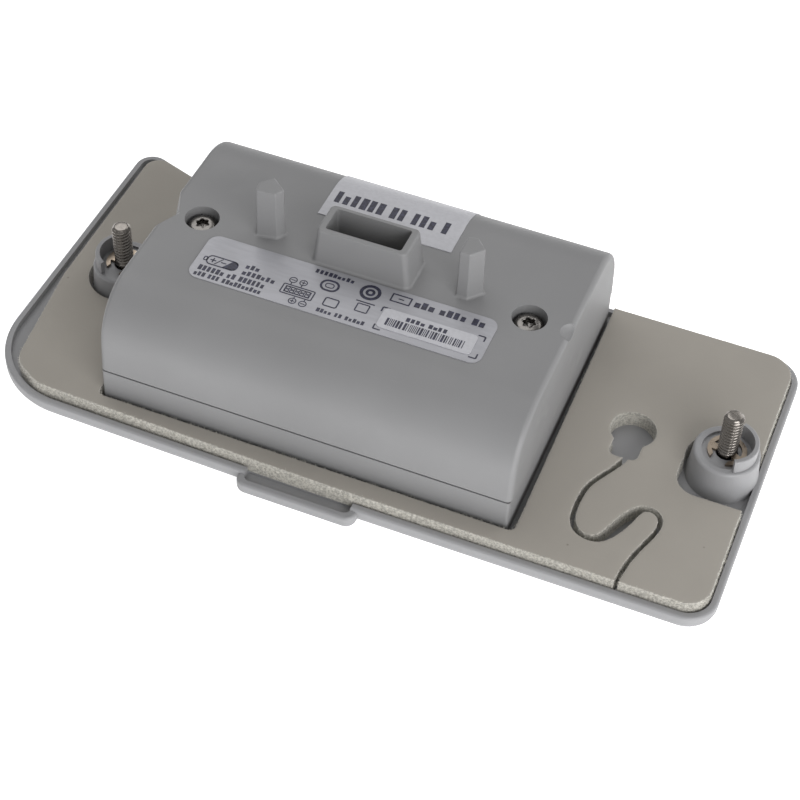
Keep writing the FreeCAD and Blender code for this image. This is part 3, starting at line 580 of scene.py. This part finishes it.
def foam_surface(settings):
    """Points, faces and cut values of the gasket: torn walls round every cut, skin on top."""
    low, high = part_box("foam_pad")
    loops = [evenly_spaced(loop, settings.step) for loop in outline_loops("foam_pad", high.z)]
    thickness = high.z - low.z
    rows = CUT_ROWS + [(0.0, thickness / MM, 0.0, 1.0)]
    points, faces, cuts = [], [], []
    top_rings, bottom_rings = [], []
    window = max(1, round(0.6 * MM / settings.step))
    shift = Vector((settings.seed * 3.1, settings.seed * 1.7, 0.0))
    for loop in loops:
        inward = inward_normals(loop, window)
        count = len(loop)
        base = len(points)
        for inset, depth, torn, cut in rows:
            for here, into in zip(loop, inward):
                streak = Vector((here.x / (0.42 * MM), here.y / (0.42 * MM), depth / 1.1)) + shift
                tear = 0.5 + 0.5 * noise.fractal(streak, 0.9, 2.1, 3)
                wave = 0.5 + 0.5 * noise.noise(Vector((here.x, here.y, 0.0)) / (3.0 * MM) + shift)
                into_by = inset * MM + settings.ragged * torn * min(1.0, max(0.0, tear)) + 0.1 * MM * wave * torn
                spot = here + into * into_by
                points.append((spot.x, spot.y, high.z - depth * MM))
                cuts.append(cut)
        for row in range(len(rows) - 1):
            for i in range(count):
                a = base + row * count + i
                b = base + row * count + (i + 1) % count
                faces.append((a, a + count, b + count, b))
        top_rings.append(list(range(base, base + count)))
        bottom_rings.append(list(range(base + (len(rows) - 1) * count, base + len(rows) * count)))
    skin_points = interior_points(points, top_rings, 1.7 * MM)
    for x, y in skin_points:
        dent = noise.noise(Vector((x, y, 0.0)) / (14 * MM) + shift) * 0.05 * MM
        points.append((x, y, high.z - 0.02 * MM + dent))
        cuts.append(0.0)
    faces += filled(points, top_rings, range(len(points) - len(skin_points), len(points)))
    faces += [tuple(reversed(face)) for face in filled(points, bottom_rings, ())]
    return points, faces, cuts


def interior_points(points, rings, spacing):
    """A triangular grid of plan points that keeps clear of the rings."""
    near = kdtree.KDTree(sum(len(ring) for ring in rings))
    for i, index in enumerate(i for ring in rings for i in ring):
        near.insert((points[index][0], points[index][1], 0.0), i)
    near.balance()
    low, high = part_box("foam_pad")
    grid = []
    row = 0
    y = low.y
    while y < high.y:
        x = low.x + (row % 2) * spacing / 2
        while x < high.x:
            if near.find((x, y, 0.0))[2] > 0.6 * spacing:
                grid.append((x, y))
            x += spacing
        y += spacing * math.sqrt(0.75)
        row += 1
    return grid


def filled(points, rings, extra):
    """Triangles that fill the plan area between rings, through the extra points."""
    used = [i for ring in rings for i in ring] + list(extra)
    flat = [Vector(points[i][:2]) / MM for i in used]
    edges = []
    start = 0
    for ring in rings:
        edges += [(start + i, start + (i + 1) % len(ring)) for i in range(len(ring))]
        start += len(ring)
    made = delaunay_2d_cdt(flat, edges, [], 4, 1e-5)
    origin = [used[given[0]] if given else None for given in made[3]]
    return [tuple(origin[i] for i in face) for face in made[2] if None not in [origin[i] for i in face]]


def fibre_tree():
    """Geometry nodes: short torn fibres scattered over the faces that are marked as frayed."""
    tree = bpy.data.node_groups.new("torn fibres", "GeometryNodeTree")
    for title, kind, value in (("Geometry", "NodeSocketGeometry", None), ("Density", FLOAT, 1e6),
                               ("Length", FLOAT, 0.0005), ("Seed", "NodeSocketInt", 0),
                               ("Material", "NodeSocketMaterial", None)):
        socket = tree.interface.new_socket(title, in_out="INPUT", socket_type=kind)
        if value is not None:
            socket.default_value = value
    tree.interface.new_socket("Geometry", in_out="OUTPUT", socket_type="NodeSocketGeometry")
    given = tree.nodes.new("NodeGroupInput").outputs
    fray = place(tree, "GeometryNodeInputNamedAttribute", {"Name": "fray"}, data_type="FLOAT").outputs["Attribute"]
    density = place(tree, "ShaderNodeMath", {0: fray, 1: given["Density"]}, operation="MULTIPLY").outputs[0]
    spread = place(tree, "GeometryNodeDistributePointsOnFaces",
                   {"Mesh": given["Geometry"], "Density": density, "Seed": given["Seed"]})
    blade = place(tree, "GeometryNodeMeshCone", {"Vertices": 3, "Side Segments": 2, "Radius Top": 0.006 * MM,
                                                 "Radius Bottom": 0.028 * MM, "Depth": 1.0 * MM})
    lean = place(tree, "FunctionNodeRandomValue", data_type="FLOAT_VECTOR")
    lean.inputs["Min"].default_value = (-0.9, -0.9, -0.9)
    lean.inputs["Max"].default_value = (0.9, 0.9, 1.2)
    tree.links.new(given["Seed"], lean.inputs["Seed"])
    aim = place(tree, "ShaderNodeVectorMath", {0: spread.outputs["Normal"], 1: lean.outputs[0]}, operation="ADD")
    turn = place(tree, "FunctionNodeAlignRotationToVector", {"Vector": aim.outputs[0]}, axis="Z")
    size = place(tree, "FunctionNodeRandomValue", data_type="FLOAT")
    size.inputs[2].default_value = 0.35
    size.inputs[3].default_value = 1.0
    stretch = place(tree, "ShaderNodeMath", {0: size.outputs[1], 1: given["Length"]}, operation="MULTIPLY")
    unit = place(tree, "ShaderNodeMath", {0: stretch.outputs[0], 1: 1.0 * MM}, operation="DIVIDE")
    scale = place(tree, "ShaderNodeCombineXYZ", {"X": 1.0, "Y": 1.0, "Z": unit.outputs[0]})
    put = place(tree, "GeometryNodeInstanceOnPoints",
                {"Points": spread.outputs["Points"], "Instance": blade.outputs["Mesh"],
                 "Rotation": turn.outputs[0], "Scale": scale.outputs[0]})
    real = place(tree, "GeometryNodeRealizeInstances", {"Geometry": put.outputs["Instances"]})
    coloured = place(tree, "GeometryNodeSetMaterial",
                     {"Geometry": real.outputs["Geometry"], "Material": given["Material"]})
    output = tree.nodes.new("NodeGroupOutput")
    tree.links.new(coloured.outputs["Geometry"], output.inputs["Geometry"])
    return tree


def set_inputs(modifier, values):
    """Sets a geometry nodes modifier's inputs by their names."""
    for item in modifier.node_group.interface.items_tree:
        if item.item_type == "SOCKET" and item.in_out == "INPUT" and item.name in values:
            modifier[item.identifier] = values[item.name]


class DOOR_OT_foam(bpy.types.Operator):
    """Builds the foam gasket with its torn cut faces and fibres"""

    bl_idname = "battery_door.foam"
    bl_label = "Foam Gasket"

    def execute(self, context):
        settings = context.scene.door_foam
        points, faces, cuts = foam_surface(settings)
        mesh = bpy.data.meshes.new("foam_gasket")
        mesh.from_pydata(points, [], faces)
        mesh.attributes.new("cut", "FLOAT", "POINT").data.foreach_set("value", cuts)
        low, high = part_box("foam_pad")
        fray = []
        for (x, y, z), cut in zip(points, cuts):
            outside = y < low.y + 6 * MM or x > high.x - 1.2 * MM
            upper = z > low.z + 0.8 * MM
            fray.append((1.0 if outside else 0.12) * (cut > 0.5) * upper)
        mesh.attributes.new("fray", "FLOAT", "POINT").data.foreach_set("value", fray)
        gasket = new_piece("foam_gasket", mesh, foam_finish(settings))
        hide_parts("foam_pad")

        carrier = bpy.data.objects.new("fibre_carrier", mesh.copy())
        context.scene.collection.objects.link(carrier)
        strands = carrier.modifiers.new("fibres", "NODES")
        strands.node_group = fibre_tree()
        fibres = fibre_finish(settings)
        set_inputs(strands, {"Density": settings.fibre_density / MM ** 2, "Length": settings.fibre_length,
                             "Seed": settings.seed, "Material": fibres})
        loose = new_piece("foam_fibres", as_plain_mesh(carrier), fibres)
        return {"FINISHED"}


# ---- screws ----------------------------------------------------------------------------------

def threaded_rings(radius, depth, pitch, low, high, chamfer):
    """Rings of a threaded run, with the thread fading out at its foot and at the chamfered tip."""
    rows = round((high - low) / (pitch / 11))

    def ring(z):
        """The thread's outline at one height."""

        def at(angle):
            """A point of the outline: radius and height."""
            phase = (z / pitch - angle / math.tau) % 1.0
            crest = min(1.0, 1.45 * (1.0 - abs(2.0 * phase - 1.0)))
            fade = min(1.0, (z - low) / pitch)
            tip = max(0.0, z - (high - chamfer))
            return min(radius - depth * fade * (1.0 - crest), radius - tip), z
        return at
    return [ring(low + (high - low) * i / rows) for i in range(rows + 1)]


class DOOR_OT_captive_screws(bpy.types.Operator):
    """Builds the two captive screws with real threads, and finishes their clips"""

    bl_idname = "battery_door.captive_screws"
    bl_label = "Captive Screws"

    def execute(self, context):
        settings = context.scene.door_screws
        # Painted reflection: the stud steel's base colour is set darker than bare steel, standing in for the dark
        # surroundings its sides would reflect.
        steel = metal("stud steel", (0.27, 0.25, 0.23), rough=0.24, brushed=(1.0, 1.0, 0.2), scale=1400.0)
        clip_steel = metal("clip steel", (0.36, 0.30, 0.24), rough=0.32, scale=700.0)
        for side in ("left", "right"):
            node = "captive_screw_" + side
            points, faces = lathe(self.rings(node, settings), settings.columns, *self.axis(node))
            whole = bpy.data.objects.new(node + "_blank", mesh_of(node + "_blank", points, faces))
            context.scene.collection.objects.link(whole)
            self.cut_slot(context, whole, node)
            screw = new_piece("stud_" + side, as_plain_mesh(whole), steel, body="screw_" + side)
            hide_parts(node)
            finish(["retaining_clip_" + side], clip_steel)
        return {"FINISHED"}

    def axis(self, node):
        """The screw's axis in plan."""
        low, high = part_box(node)
        return (low.x + high.x) / 2, (low.y + high.y) / 2

    def rings(self, node, settings):
        """Rings of one screw: rounded head, relieved neck, clip groove and thread."""
        low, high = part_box(node)
        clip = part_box(node.replace("captive_screw", "retaining_clip"))
        head = (high.x - low.x) / 2
        head_top = low.z + STUD_HEAD_H
        edge = STUD_HEAD_EDGE
        rings = [(head * 0.5, low.z), (head - edge, low.z)]
        for degrees in (30, 60, 90):
            turn = math.radians(degrees)
            rings.append((head - edge + edge * math.sin(turn), low.z + edge - edge * math.cos(turn)))
        rings += [(head, head_top - 0.15 * MM), (head - 0.15 * MM, head_top), (STUD_R, head_top),
                  (NECK_R, head_top + 0.25 * MM), (NECK_R, clip[0].z - 0.06 * MM),
                  (GROOVE_R, clip[0].z - 0.04 * MM), (GROOVE_R, clip[1].z + 0.04 * MM)]
        rings += threaded_rings(STUD_R, settings.depth, settings.pitch, clip[1].z + 0.06 * MM,
                                high.z - 0.05 * MM, 0.5 * MM)
        rings += [(1.05 * MM, high.z), (0.5 * MM, high.z)]
        return rings

    def cut_slot(self, context, whole, node):
        """Cuts the driver slot across the head."""
        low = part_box(node)[0]
        x, y = self.axis(node)
        size = Matrix.Diagonal((9 * MM, DRIVE_SLOT_W, 2 * DRIVE_SLOT_DEPTH, 1.0))
        work = bmesh.new()
        bmesh.ops.create_cube(work, size=1.0, matrix=Matrix.Translation((x, y, low.z)) @ size)
        mesh = bpy.data.meshes.new(node + "_cutter")
        work.to_mesh(mesh)
        work.free()
        cutter = bpy.data.objects.new(node + "_cutter", mesh)
        context.scene.collection.objects.link(cutter)
        slot = whole.modifiers.new("slot", "BOOLEAN")
        slot.operation = "DIFFERENCE"
        slot.solver = "EXACT"
        slot.object = cutter
        context.view_layer.update()
        graph = context.evaluated_depsgraph_get()
        cut = bpy.data.meshes.new_from_object(whole.evaluated_get(graph), depsgraph=graph)
        whole.modifiers.remove(slot)
        whole.data = cut
        bpy.data.objects.remove(cutter)


class DOOR_OT_case_screws(bpy.types.Operator):
    """Builds the two case screws with six-lobe sockets"""

    bl_idname = "battery_door.case_screws"
    bl_label = "Case Screws"

    def execute(self, context):
        settings = context.scene.door_screws
        low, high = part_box("case_screws")
        radius = CASE_HEAD_R
        points, faces = [], []
        for x in (low.x + radius, high.x - radius):
            more, sides = lathe(self.rings(low.z, high.z, radius, settings.socket), 72, x, (low.y + high.y) / 2)
            faces += [tuple(i + len(points) for i in side) for side in sides]
            points += more
        # Painted reflection: the screw steel's base colour is set darker than bare steel, standing in for the dark
        # surroundings the heads would reflect.
        steel = metal("screw steel", (0.20, 0.19, 0.18), rough=0.24, scale=1600.0)
        screws = new_piece("case_screws_lobed", mesh_of("case_screws_lobed", points, faces), steel)
        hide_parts("case_screws")
        finish(["threaded_inserts"], metal("insert brass", (0.62, 0.46, 0.20), rough=0.32))
        return {"FINISHED"}

    def rings(self, low, high, radius, socket):
        """Rings of one screw: shank, domed head and lobed socket."""
        seat = high - CASE_HEAD_H

        def lobed(size, z):
            """A six-lobe outline at one height."""
            return lambda angle: (size * (1.0 + 0.13 * math.cos(6 * angle)), z)
        rings = [(1.2 * MM, low), (CASE_SHANK_R, low + 0.25 * MM), (CASE_SHANK_R, seat - 0.05 * MM),
                 (radius - 0.15 * MM, seat), (radius, seat + 0.15 * MM), (radius, high - 1.05 * MM)]
        for degrees in (20, 40, 60, 80):
            turn = math.radians(degrees)
            rings.append((radius - 1.0 * MM * (1 - math.cos(turn)), high - 1.05 * MM + 1.0 * MM * math.sin(turn)))
        rings += [(1.45 * MM, high), lobed(socket + 0.12 * MM, high), lobed(socket, high - 0.1 * MM),
                  lobed(socket * 0.97, high - 1.05 * MM), lobed(socket * 0.5, high - 1.25 * MM)]
        return rings


# ---- labels ----------------------------------------------------------------------------------

def prism(points, faces, outline, z0, z1):
    """Adds an upright prism over a convex plan outline."""
    base = len(points)
    count = len(outline)
    points += [(x, y, z0) for x, y in outline] + [(x, y, z1) for x, y in outline]
    faces.append(tuple(base + i for i in reversed(range(count))))
    faces.append(tuple(base + count + i for i in range(count)))
    for i in range(count):
        j = (i + 1) % count
        faces.append((base + i, base + j, base + count + j, base + count + i))


def bar(x0, x1, y0, y1):
    """The plan outline of a straight bar."""
    return [(x0, y0), (x1, y0), (x1, y1), (x0, y1)]


def round_rectangle(x0, x1, y0, y1, r, steps=5):
    """The plan outline of a rectangle with round corners."""
    outline = []
    for cx, cy, start in ((x1 - r, y1 - r, 0), (x0 + r, y1 - r, 90), (x0 + r, y0 + r, 180), (x1 - r, y0 + r, 270)):
        for i in range(steps + 1):
            turn = math.radians(start + 90 * i / steps)
            outline.append((cx + r * math.cos(turn), cy + r * math.sin(turn)))
    return outline


def ring_of(points, faces, outer, inner, z0, z1):
    """Adds a closed frame between two plan outlines with equal counts."""
    base = len(points)
    count = len(outer)
    for z in (z0, z1):
        for outline in (outer, inner):
            points += [(x, y, z) for x, y in outline]
    for i in range(count):
        j = (i + 1) % count
        low_out, low_in, top_out, top_in = (base + k * count for k in range(4))
        faces.append((low_out + i, low_out + j, top_out + j, top_out + i))
        faces.append((top_in + i, top_in + j, low_in + j, low_in + i))
        faces.append((top_out + i, top_out + j, top_in + j, top_in + i))
        faces.append((low_in + i, low_in + j, low_out + j, low_out + i))


class DOOR_OT_labels(bpy.types.Operator):
    """Finishes the label films and lays their generic marks"""

    bl_idname = "battery_door.labels"
    bl_label = "Labels"

    def execute(self, context):
        settings = context.scene.door_labels
        finish(["main_label"], film("silver film", tuple(settings.silver), 0.36, (0.15, 1.0, 1.0), 0.25))
        finish(["serial_label", "inspection_label"], film("white film", tuple(settings.white), 0.42))
        self.points, self.faces = [], []
        self.rise = settings.ink_height
        self.draw = random.Random(settings.seed)
        self.main_marks()
        self.serial_marks()
        self.inspection_marks()
        marks = new_piece("label_marks", mesh_of("label_marks", self.points, self.faces), ink_finish(settings),
                          smooth=False)
        return {"FINISHED"}

    def ink(self, outline, z):
        """Adds one printed shape on a film whose top is at z."""
        prism(self.points, self.faces, outline, z, z + self.rise)

    def outlined(self, x0, x1, y0, y1, r, width, z):
        """Adds a round-cornered frame."""
        ring_of(self.points, self.faces, round_rectangle(x0, x1, y0, y1, r),
                round_rectangle(x0 + width, x1 - width, y0 + width, y1 - width, max(r - width, width / 4)),
                z, z + self.rise)

    def at(self, node, x, y):
        """A place on a label, measured in millimetres from its front left corner."""
        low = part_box(node)[0]
        return low.x + x * MM, low.y + y * MM

    def words(self, node, x, y, height, letters, pitch, z):
        """A row of plain blocks that stands for words: one block for each letter, one gap between words."""
        for count in letters:
            for _ in range(count):
                tall = height * self.draw.choice((0.72, 1.0, 1.0))
                x0, y0 = self.at(node, x, y)
                self.ink(bar(x0, x0 + pitch * self.draw.uniform(0.62, 0.80) * MM, y0, y0 + tall * MM), z)
                x += pitch
            x += 0.6 * pitch

    def box(self, x0, x1, y0, y1, r, width, z):
        """A round-cornered frame on the main label, in millimetres from its corner."""
        x0, y0 = self.at("main_label", x0, y0)
        x1, y1 = self.at("main_label", x1, y1)
        self.outlined(x0, x1, y0, y1, r * MM, width * MM, z)

    def stroke(self, x0, y0, x1, y1, width, z):
        """A straight stroke on the main label, in millimetres from its corner."""
        start = Vector(self.at("main_label", x0, y0))
        end = Vector(self.at("main_label", x1, y1))
        along = (end - start).normalized()
        side = Vector((-along.y, along.x)) * width / 2 * MM
        self.ink([tuple(p) for p in (start - side, end - side, end + side, start + side)], z)

    def main_marks(self):
        """Battery symbol, word blocks, contact diagram and plain symbols."""
        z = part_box("main_label")[1].z
        self.box(1.75, 7.6, 3.8, 6.15, 0.95, 0.26, z)
        self.box(1.15, 1.9, 4.4, 5.5, 0.3, 0.22, z)
        x, y = self.at("main_label", 0, 0)
        self.ink([(x + a * MM, y + b * MM) for a, b in (
            (5.0, 3.95), (6.8, 3.95), (7.3, 4.3), (7.4, 5.6), (7.0, 6.0), (6.3, 6.0))], z)
        self.stroke(2.4, 5.0, 3.5, 5.0, 0.24, z)
        self.stroke(2.95, 4.45, 2.95, 5.55, 0.24, z)
        self.stroke(3.5, 4.2, 4.5, 5.8, 0.2, z)
        self.stroke(4.4, 5.0, 5.4, 5.0, 0.24, z)
        self.words("main_label", 1.3, 2.0, 1.25, (6, 2, 6), 0.83, z)
        self.words("main_label", 1.2, 0.55, 1.05, (3, 3, 10), 0.74, z)
        self.words("main_label", 8.8, 5.4, 1.1, (3,), 0.9, z)
        self.words("main_label", 8.8, 3.8, 1.1, (7,), 0.9, z)
        self.contact_diagram(z)
        self.words("main_label", 20.2, 9.35, 0.95, (9,), 0.82, z)
        self.box(22.1, 25.6, 5.9, 8.7, 1.35, 0.42, z)
        self.box(23.0, 24.7, 6.7, 7.9, 0.55, 0.2, z)
        self.box(24.3, 27.0, 2.5, 4.7, 0.5, 0.26, z)
        self.words("main_label", 24.0, 0.8, 0.9, (4, 2, 5), 0.73, z)
        self.box(28.95, 32.75, 6.7, 10.4, 1.85, 0.62, z)
        self.box(30.0, 31.7, 7.7, 9.4, 0.8, 0.5, z)
        self.box(29.8, 32.2, 3.5, 5.6, 0.3, 0.24, z)
        self.stroke(29.3, 6.0, 32.7, 6.0, 0.26, z)
        self.box(34.45, 38.1, 8.1, 10.1, 0.15, 0.27, z)
        self.stroke(35.8, 9.1, 36.8, 9.1, 0.22, z)
        self.words("main_label", 38.8, 8.35, 1.6, (3, 4, 2), 1.27, z)

    def contact_diagram(self, z):
        """A rounded block with two rows of squares, and a signed ring at each of its four leads."""
        self.box(16.4, 22.4, 2.5, 4.95, 0.35, 0.24, z)
        self.box(17.0, 21.8, 2.95, 4.5, 0.15, 0.15, z)
        for y in (3.06, 3.78):
            for i in range(5):
                x = 17.1 + i * 0.93
                self.box(x, x + 0.84, y, y + 0.66, 0.1, 0.17, z)
        for x, y, plus in ((17.6, 6.1, False), (19.5, 6.1, True), (19.45, 1.4, True), (21.35, 1.4, False)):
            self.box(x - 0.74, x + 0.74, y - 0.72, y + 0.72, 0.71, 0.2, z)
            self.stroke(x - 0.4, y, x + 0.4, y, 0.18, z)
            if plus:
                self.stroke(x, y - 0.4, x, y + 0.4, 0.18, z)
            self.stroke(x, 5.0 if y > 3 else 2.1, x, 5.35 if y > 3 else 2.45, 0.2, z)

    def serial_marks(self):
        """Corner marks, a row of blocks and a run of upright lines."""
        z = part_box("serial_label")[1].z
        x = 1.25
        while x < 15.1:
            line = self.draw.choice((0.14, 0.14, 0.28, 0.42))
            x0, y0 = self.at("serial_label", x, 0.85)
            self.ink(bar(x0, x0 + line * MM, y0, y0 + 1.75 * MM), z)
            x += line + self.draw.choice((0.16, 0.16, 0.3))
        self.words("serial_label", 4.3, 2.95, 0.95, (4, 4), 0.88, z)
        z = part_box("main_label")[1].z
        for x, y, sx, sy in ((34.2, 6.3, 1, -1), (52.6, 6.5, -1, -1), (34.4, 0.95, 1, 1), (52.7, 1.2, -1, 1)):
            self.stroke(x, y, x + 1.3 * sx, y, 0.28, z)
            self.stroke(x, y, x, y + 1.1 * sy, 0.28, z)

    def inspection_marks(self):
        """A line of large placeholder blocks."""
        self.words("inspection_label", 1.3, 3.9, 3.0, (6, 2, 3, 1), 1.6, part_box("inspection_label")[1].z)


# ---- CAD nodes that keep their shape -----------------------------------------------------------

class DOOR_OT_mouldings(bpy.types.Operator):
    """Finishes the door and the pack's case"""

    bl_idname = "battery_door.mouldings"
    bl_label = "Door and Case"

    def execute(self, context):
        settings = context.scene.door_plastic
        finish(["cover_plate"], moulded_plastic("door plastic", tuple(settings.door), settings.grain, 0.44))
        finish(["case_cover", "case_base"],
               moulded_plastic("case plastic", tuple(settings.case), settings.grain, 0.48))
        return {"FINISHED"}


class DOOR_OT_electrics(bpy.types.Operator):
    """Finishes the connector, cells and board"""

    bl_idname = "battery_door.electrics"
    bl_label = "Cells and Electrics"

    def execute(self, context):
        finish(["connector_block"], card("connector nylon", (0.05, 0.045, 0.042), 0.5))
        finish(["connector_contacts"], metal("contact gold", (0.80, 0.58, 0.25), 0.25, scale=1200.0))
        finish(["cell_front", "cell_rear"], metal("cell can", (0.56, 0.55, 0.53), 0.28))
        finish(["cell_sleeves"], card("cell sleeve", (0.08, 0.22, 0.42), 0.38, 1200.0))
        finish(["insulator_rings"], card("insulator card", (0.80, 0.78, 0.70), 0.85))
        finish(["end_cards"], card("end card", (0.78, 0.76, 0.68), 0.85))
        finish(["series_link", "tab_positive", "tab_negative"],
               metal("nickel strip", (0.62, 0.60, 0.55), 0.3))
        finish(["protection_board"], card("circuit board", (0.03, 0.16, 0.07), 0.42, 1800.0))
        finish(["board_chips"], card("chip resin", (0.02, 0.02, 0.022), 0.5, 3500.0))
        finish(["board_passives"], card("passive ceramic", (0.35, 0.26, 0.17), 0.4, 3500.0))
        finish(["resettable_fuse"], card("fuse film", (0.55, 0.36, 0.06), 0.45, 1600.0))
        finish(["thermistor"], card("bead epoxy", (0.05, 0.05, 0.05), 0.35, 2500.0))
        finish(["cell_pads"], card("cell pad foam", (0.05, 0.05, 0.05), 0.95, 1800.0, 0.05 * MM))
        return {"FINISHED"}


# ---- stage -----------------------------------------------------------------------------------

def area_light(name, power, size, where, aim):
    """A square soft light that faces a point."""
    lamp = bpy.data.lights.new(name, "AREA")
    lamp.energy = power
    lamp.size = size
    lamp.shape = "SQUARE"
    light = bpy.data.objects.new(name, lamp)
    bpy.context.scene.collection.objects.link(light)
    light.location = where
    light.rotation_euler = (aim - light.location).to_track_quat("-Z", "Y").to_euler()
    return light


class DOOR_OT_stage(bpy.types.Operator):
    """Sets the floor, the lights and the camera"""

    bl_idname = "battery_door.stage"
    bl_label = "Stage"

    def clear_from_below(self, material):
        """Lets a camera under the floor see the door's outer face through it."""
        tree = material.node_tree
        output = next(node for node in tree.nodes if node.type == "OUTPUT_MATERIAL")
        surface = output.inputs["Surface"].links[0].from_socket
        behind = place(tree, "ShaderNodeNewGeometry").outputs["Backfacing"]
        clear = place(tree, "ShaderNodeBsdfTransparent").outputs[0]
        blend = place(tree, "ShaderNodeMixShader", {0: behind, 1: surface, 2: clear})
        tree.links.new(blend.outputs[0], output.inputs["Surface"])

    def execute(self, context):
        settings = context.scene.door_stage
        scene = context.scene
        half = 1.6
        mesh = bpy.data.meshes.new("floor")
        mesh.from_pydata([(-half, -half, FLOOR_Z), (half, -half, FLOOR_Z), (half, half, FLOOR_Z),
                          (-half, half, FLOOR_Z)], [], [(0, 1, 2, 3)])
        paper, _, shader = new_material("floor paper")
        shader.inputs["Base Color"].default_value = (*settings.floor, 1.0)
        shader.inputs["Roughness"].default_value = 0.9
        shader.inputs["Emission Color"].default_value = (1.0, 1.0, 1.0, 1.0)
        shader.inputs["Emission Strength"].default_value = settings.glow
        self.clear_from_below(paper)
        mesh.materials.append(paper)
        floor = bpy.data.objects.new("floor", mesh)
        scene.collection.objects.link(floor)
        area_light("key light", settings.key, 0.7, CENTRE + Vector((-0.35, 0.35, 0.75)), CENTRE)
        area_light("fill light", settings.fill, 0.7, CENTRE + Vector((0.60, -0.55, 0.22)), CENTRE)
        area_light("back light", settings.back, 0.6, CENTRE + Vector((0.35, 0.70, 0.40)), CENTRE)
        world = bpy.data.worlds.new("studio")
        world.use_nodes = True
        world.node_tree.nodes["Background"].inputs["Color"].default_value = (1.0, 1.0, 1.0, 1.0)
        world.node_tree.nodes["Background"].inputs["Strength"].default_value = settings.world
        scene.world = world
        scene.view_settings.view_transform = "Standard"
        lens = bpy.data.cameras.new("camera")
        lens.lens = settings.lens
        lens.sensor_width = 36.0
        lens.clip_start = 0.01
        lens.clip_end = 10.0
        camera = bpy.data.objects.new("camera", lens)
        scene.collection.objects.link(camera)
        camera.location = settings.camera_place
        camera.rotation_euler = settings.camera_turn
        scene.camera = camera
        return {"FINISHED"}


# ---- add-on ----------------------------------------------------------------------------------

OPERATORS = (DOOR_OT_mouldings, DOOR_OT_foam, DOOR_OT_captive_screws, DOOR_OT_case_screws, DOOR_OT_labels,
             DOOR_OT_electrics, DOOR_OT_stage)


class DOOR_PT_panel(bpy.types.Panel):
    """Lists the pieces and their settings"""

    bl_idname = "DOOR_PT_panel"
    bl_label = "Battery Door"
    bl_space_type = "VIEW_3D"
    bl_region_type = "UI"
    bl_category = "Battery Door"

    def draw(self, context):
        """Lists the operators and the settings."""
        for made in OPERATORS:
            self.layout.operator(made.bl_idname)
        for name, kind in SETTINGS.items():
            box = self.layout.box()
            box.label(text=kind.__doc__.rstrip("."))
            for prop in kind.__annotations__:
                box.prop(getattr(context.scene, name), prop)


def register():
    """Registers the settings, operators and panel."""
    for name, kind in SETTINGS.items():
        bpy.utils.register_class(kind)
        setattr(bpy.types.Scene, name, PointerProperty(type=kind))
    for made in (*OPERATORS, DOOR_PT_panel):
        bpy.utils.register_class(made)


def unregister():
    """Takes them all away again."""
    for made in reversed((*OPERATORS, DOOR_PT_panel)):
        bpy.utils.unregister_class(made)
    for name, kind in SETTINGS.items():
        delattr(bpy.types.Scene, name)
        bpy.utils.unregister_class(kind)


def main():
    """Builds the whole model."""
    register()
    for made in OPERATORS:
        group, action = made.bl_idname.split(".")
        getattr(getattr(bpy.ops, group), action)()


if __name__ == "__main__":
    main()
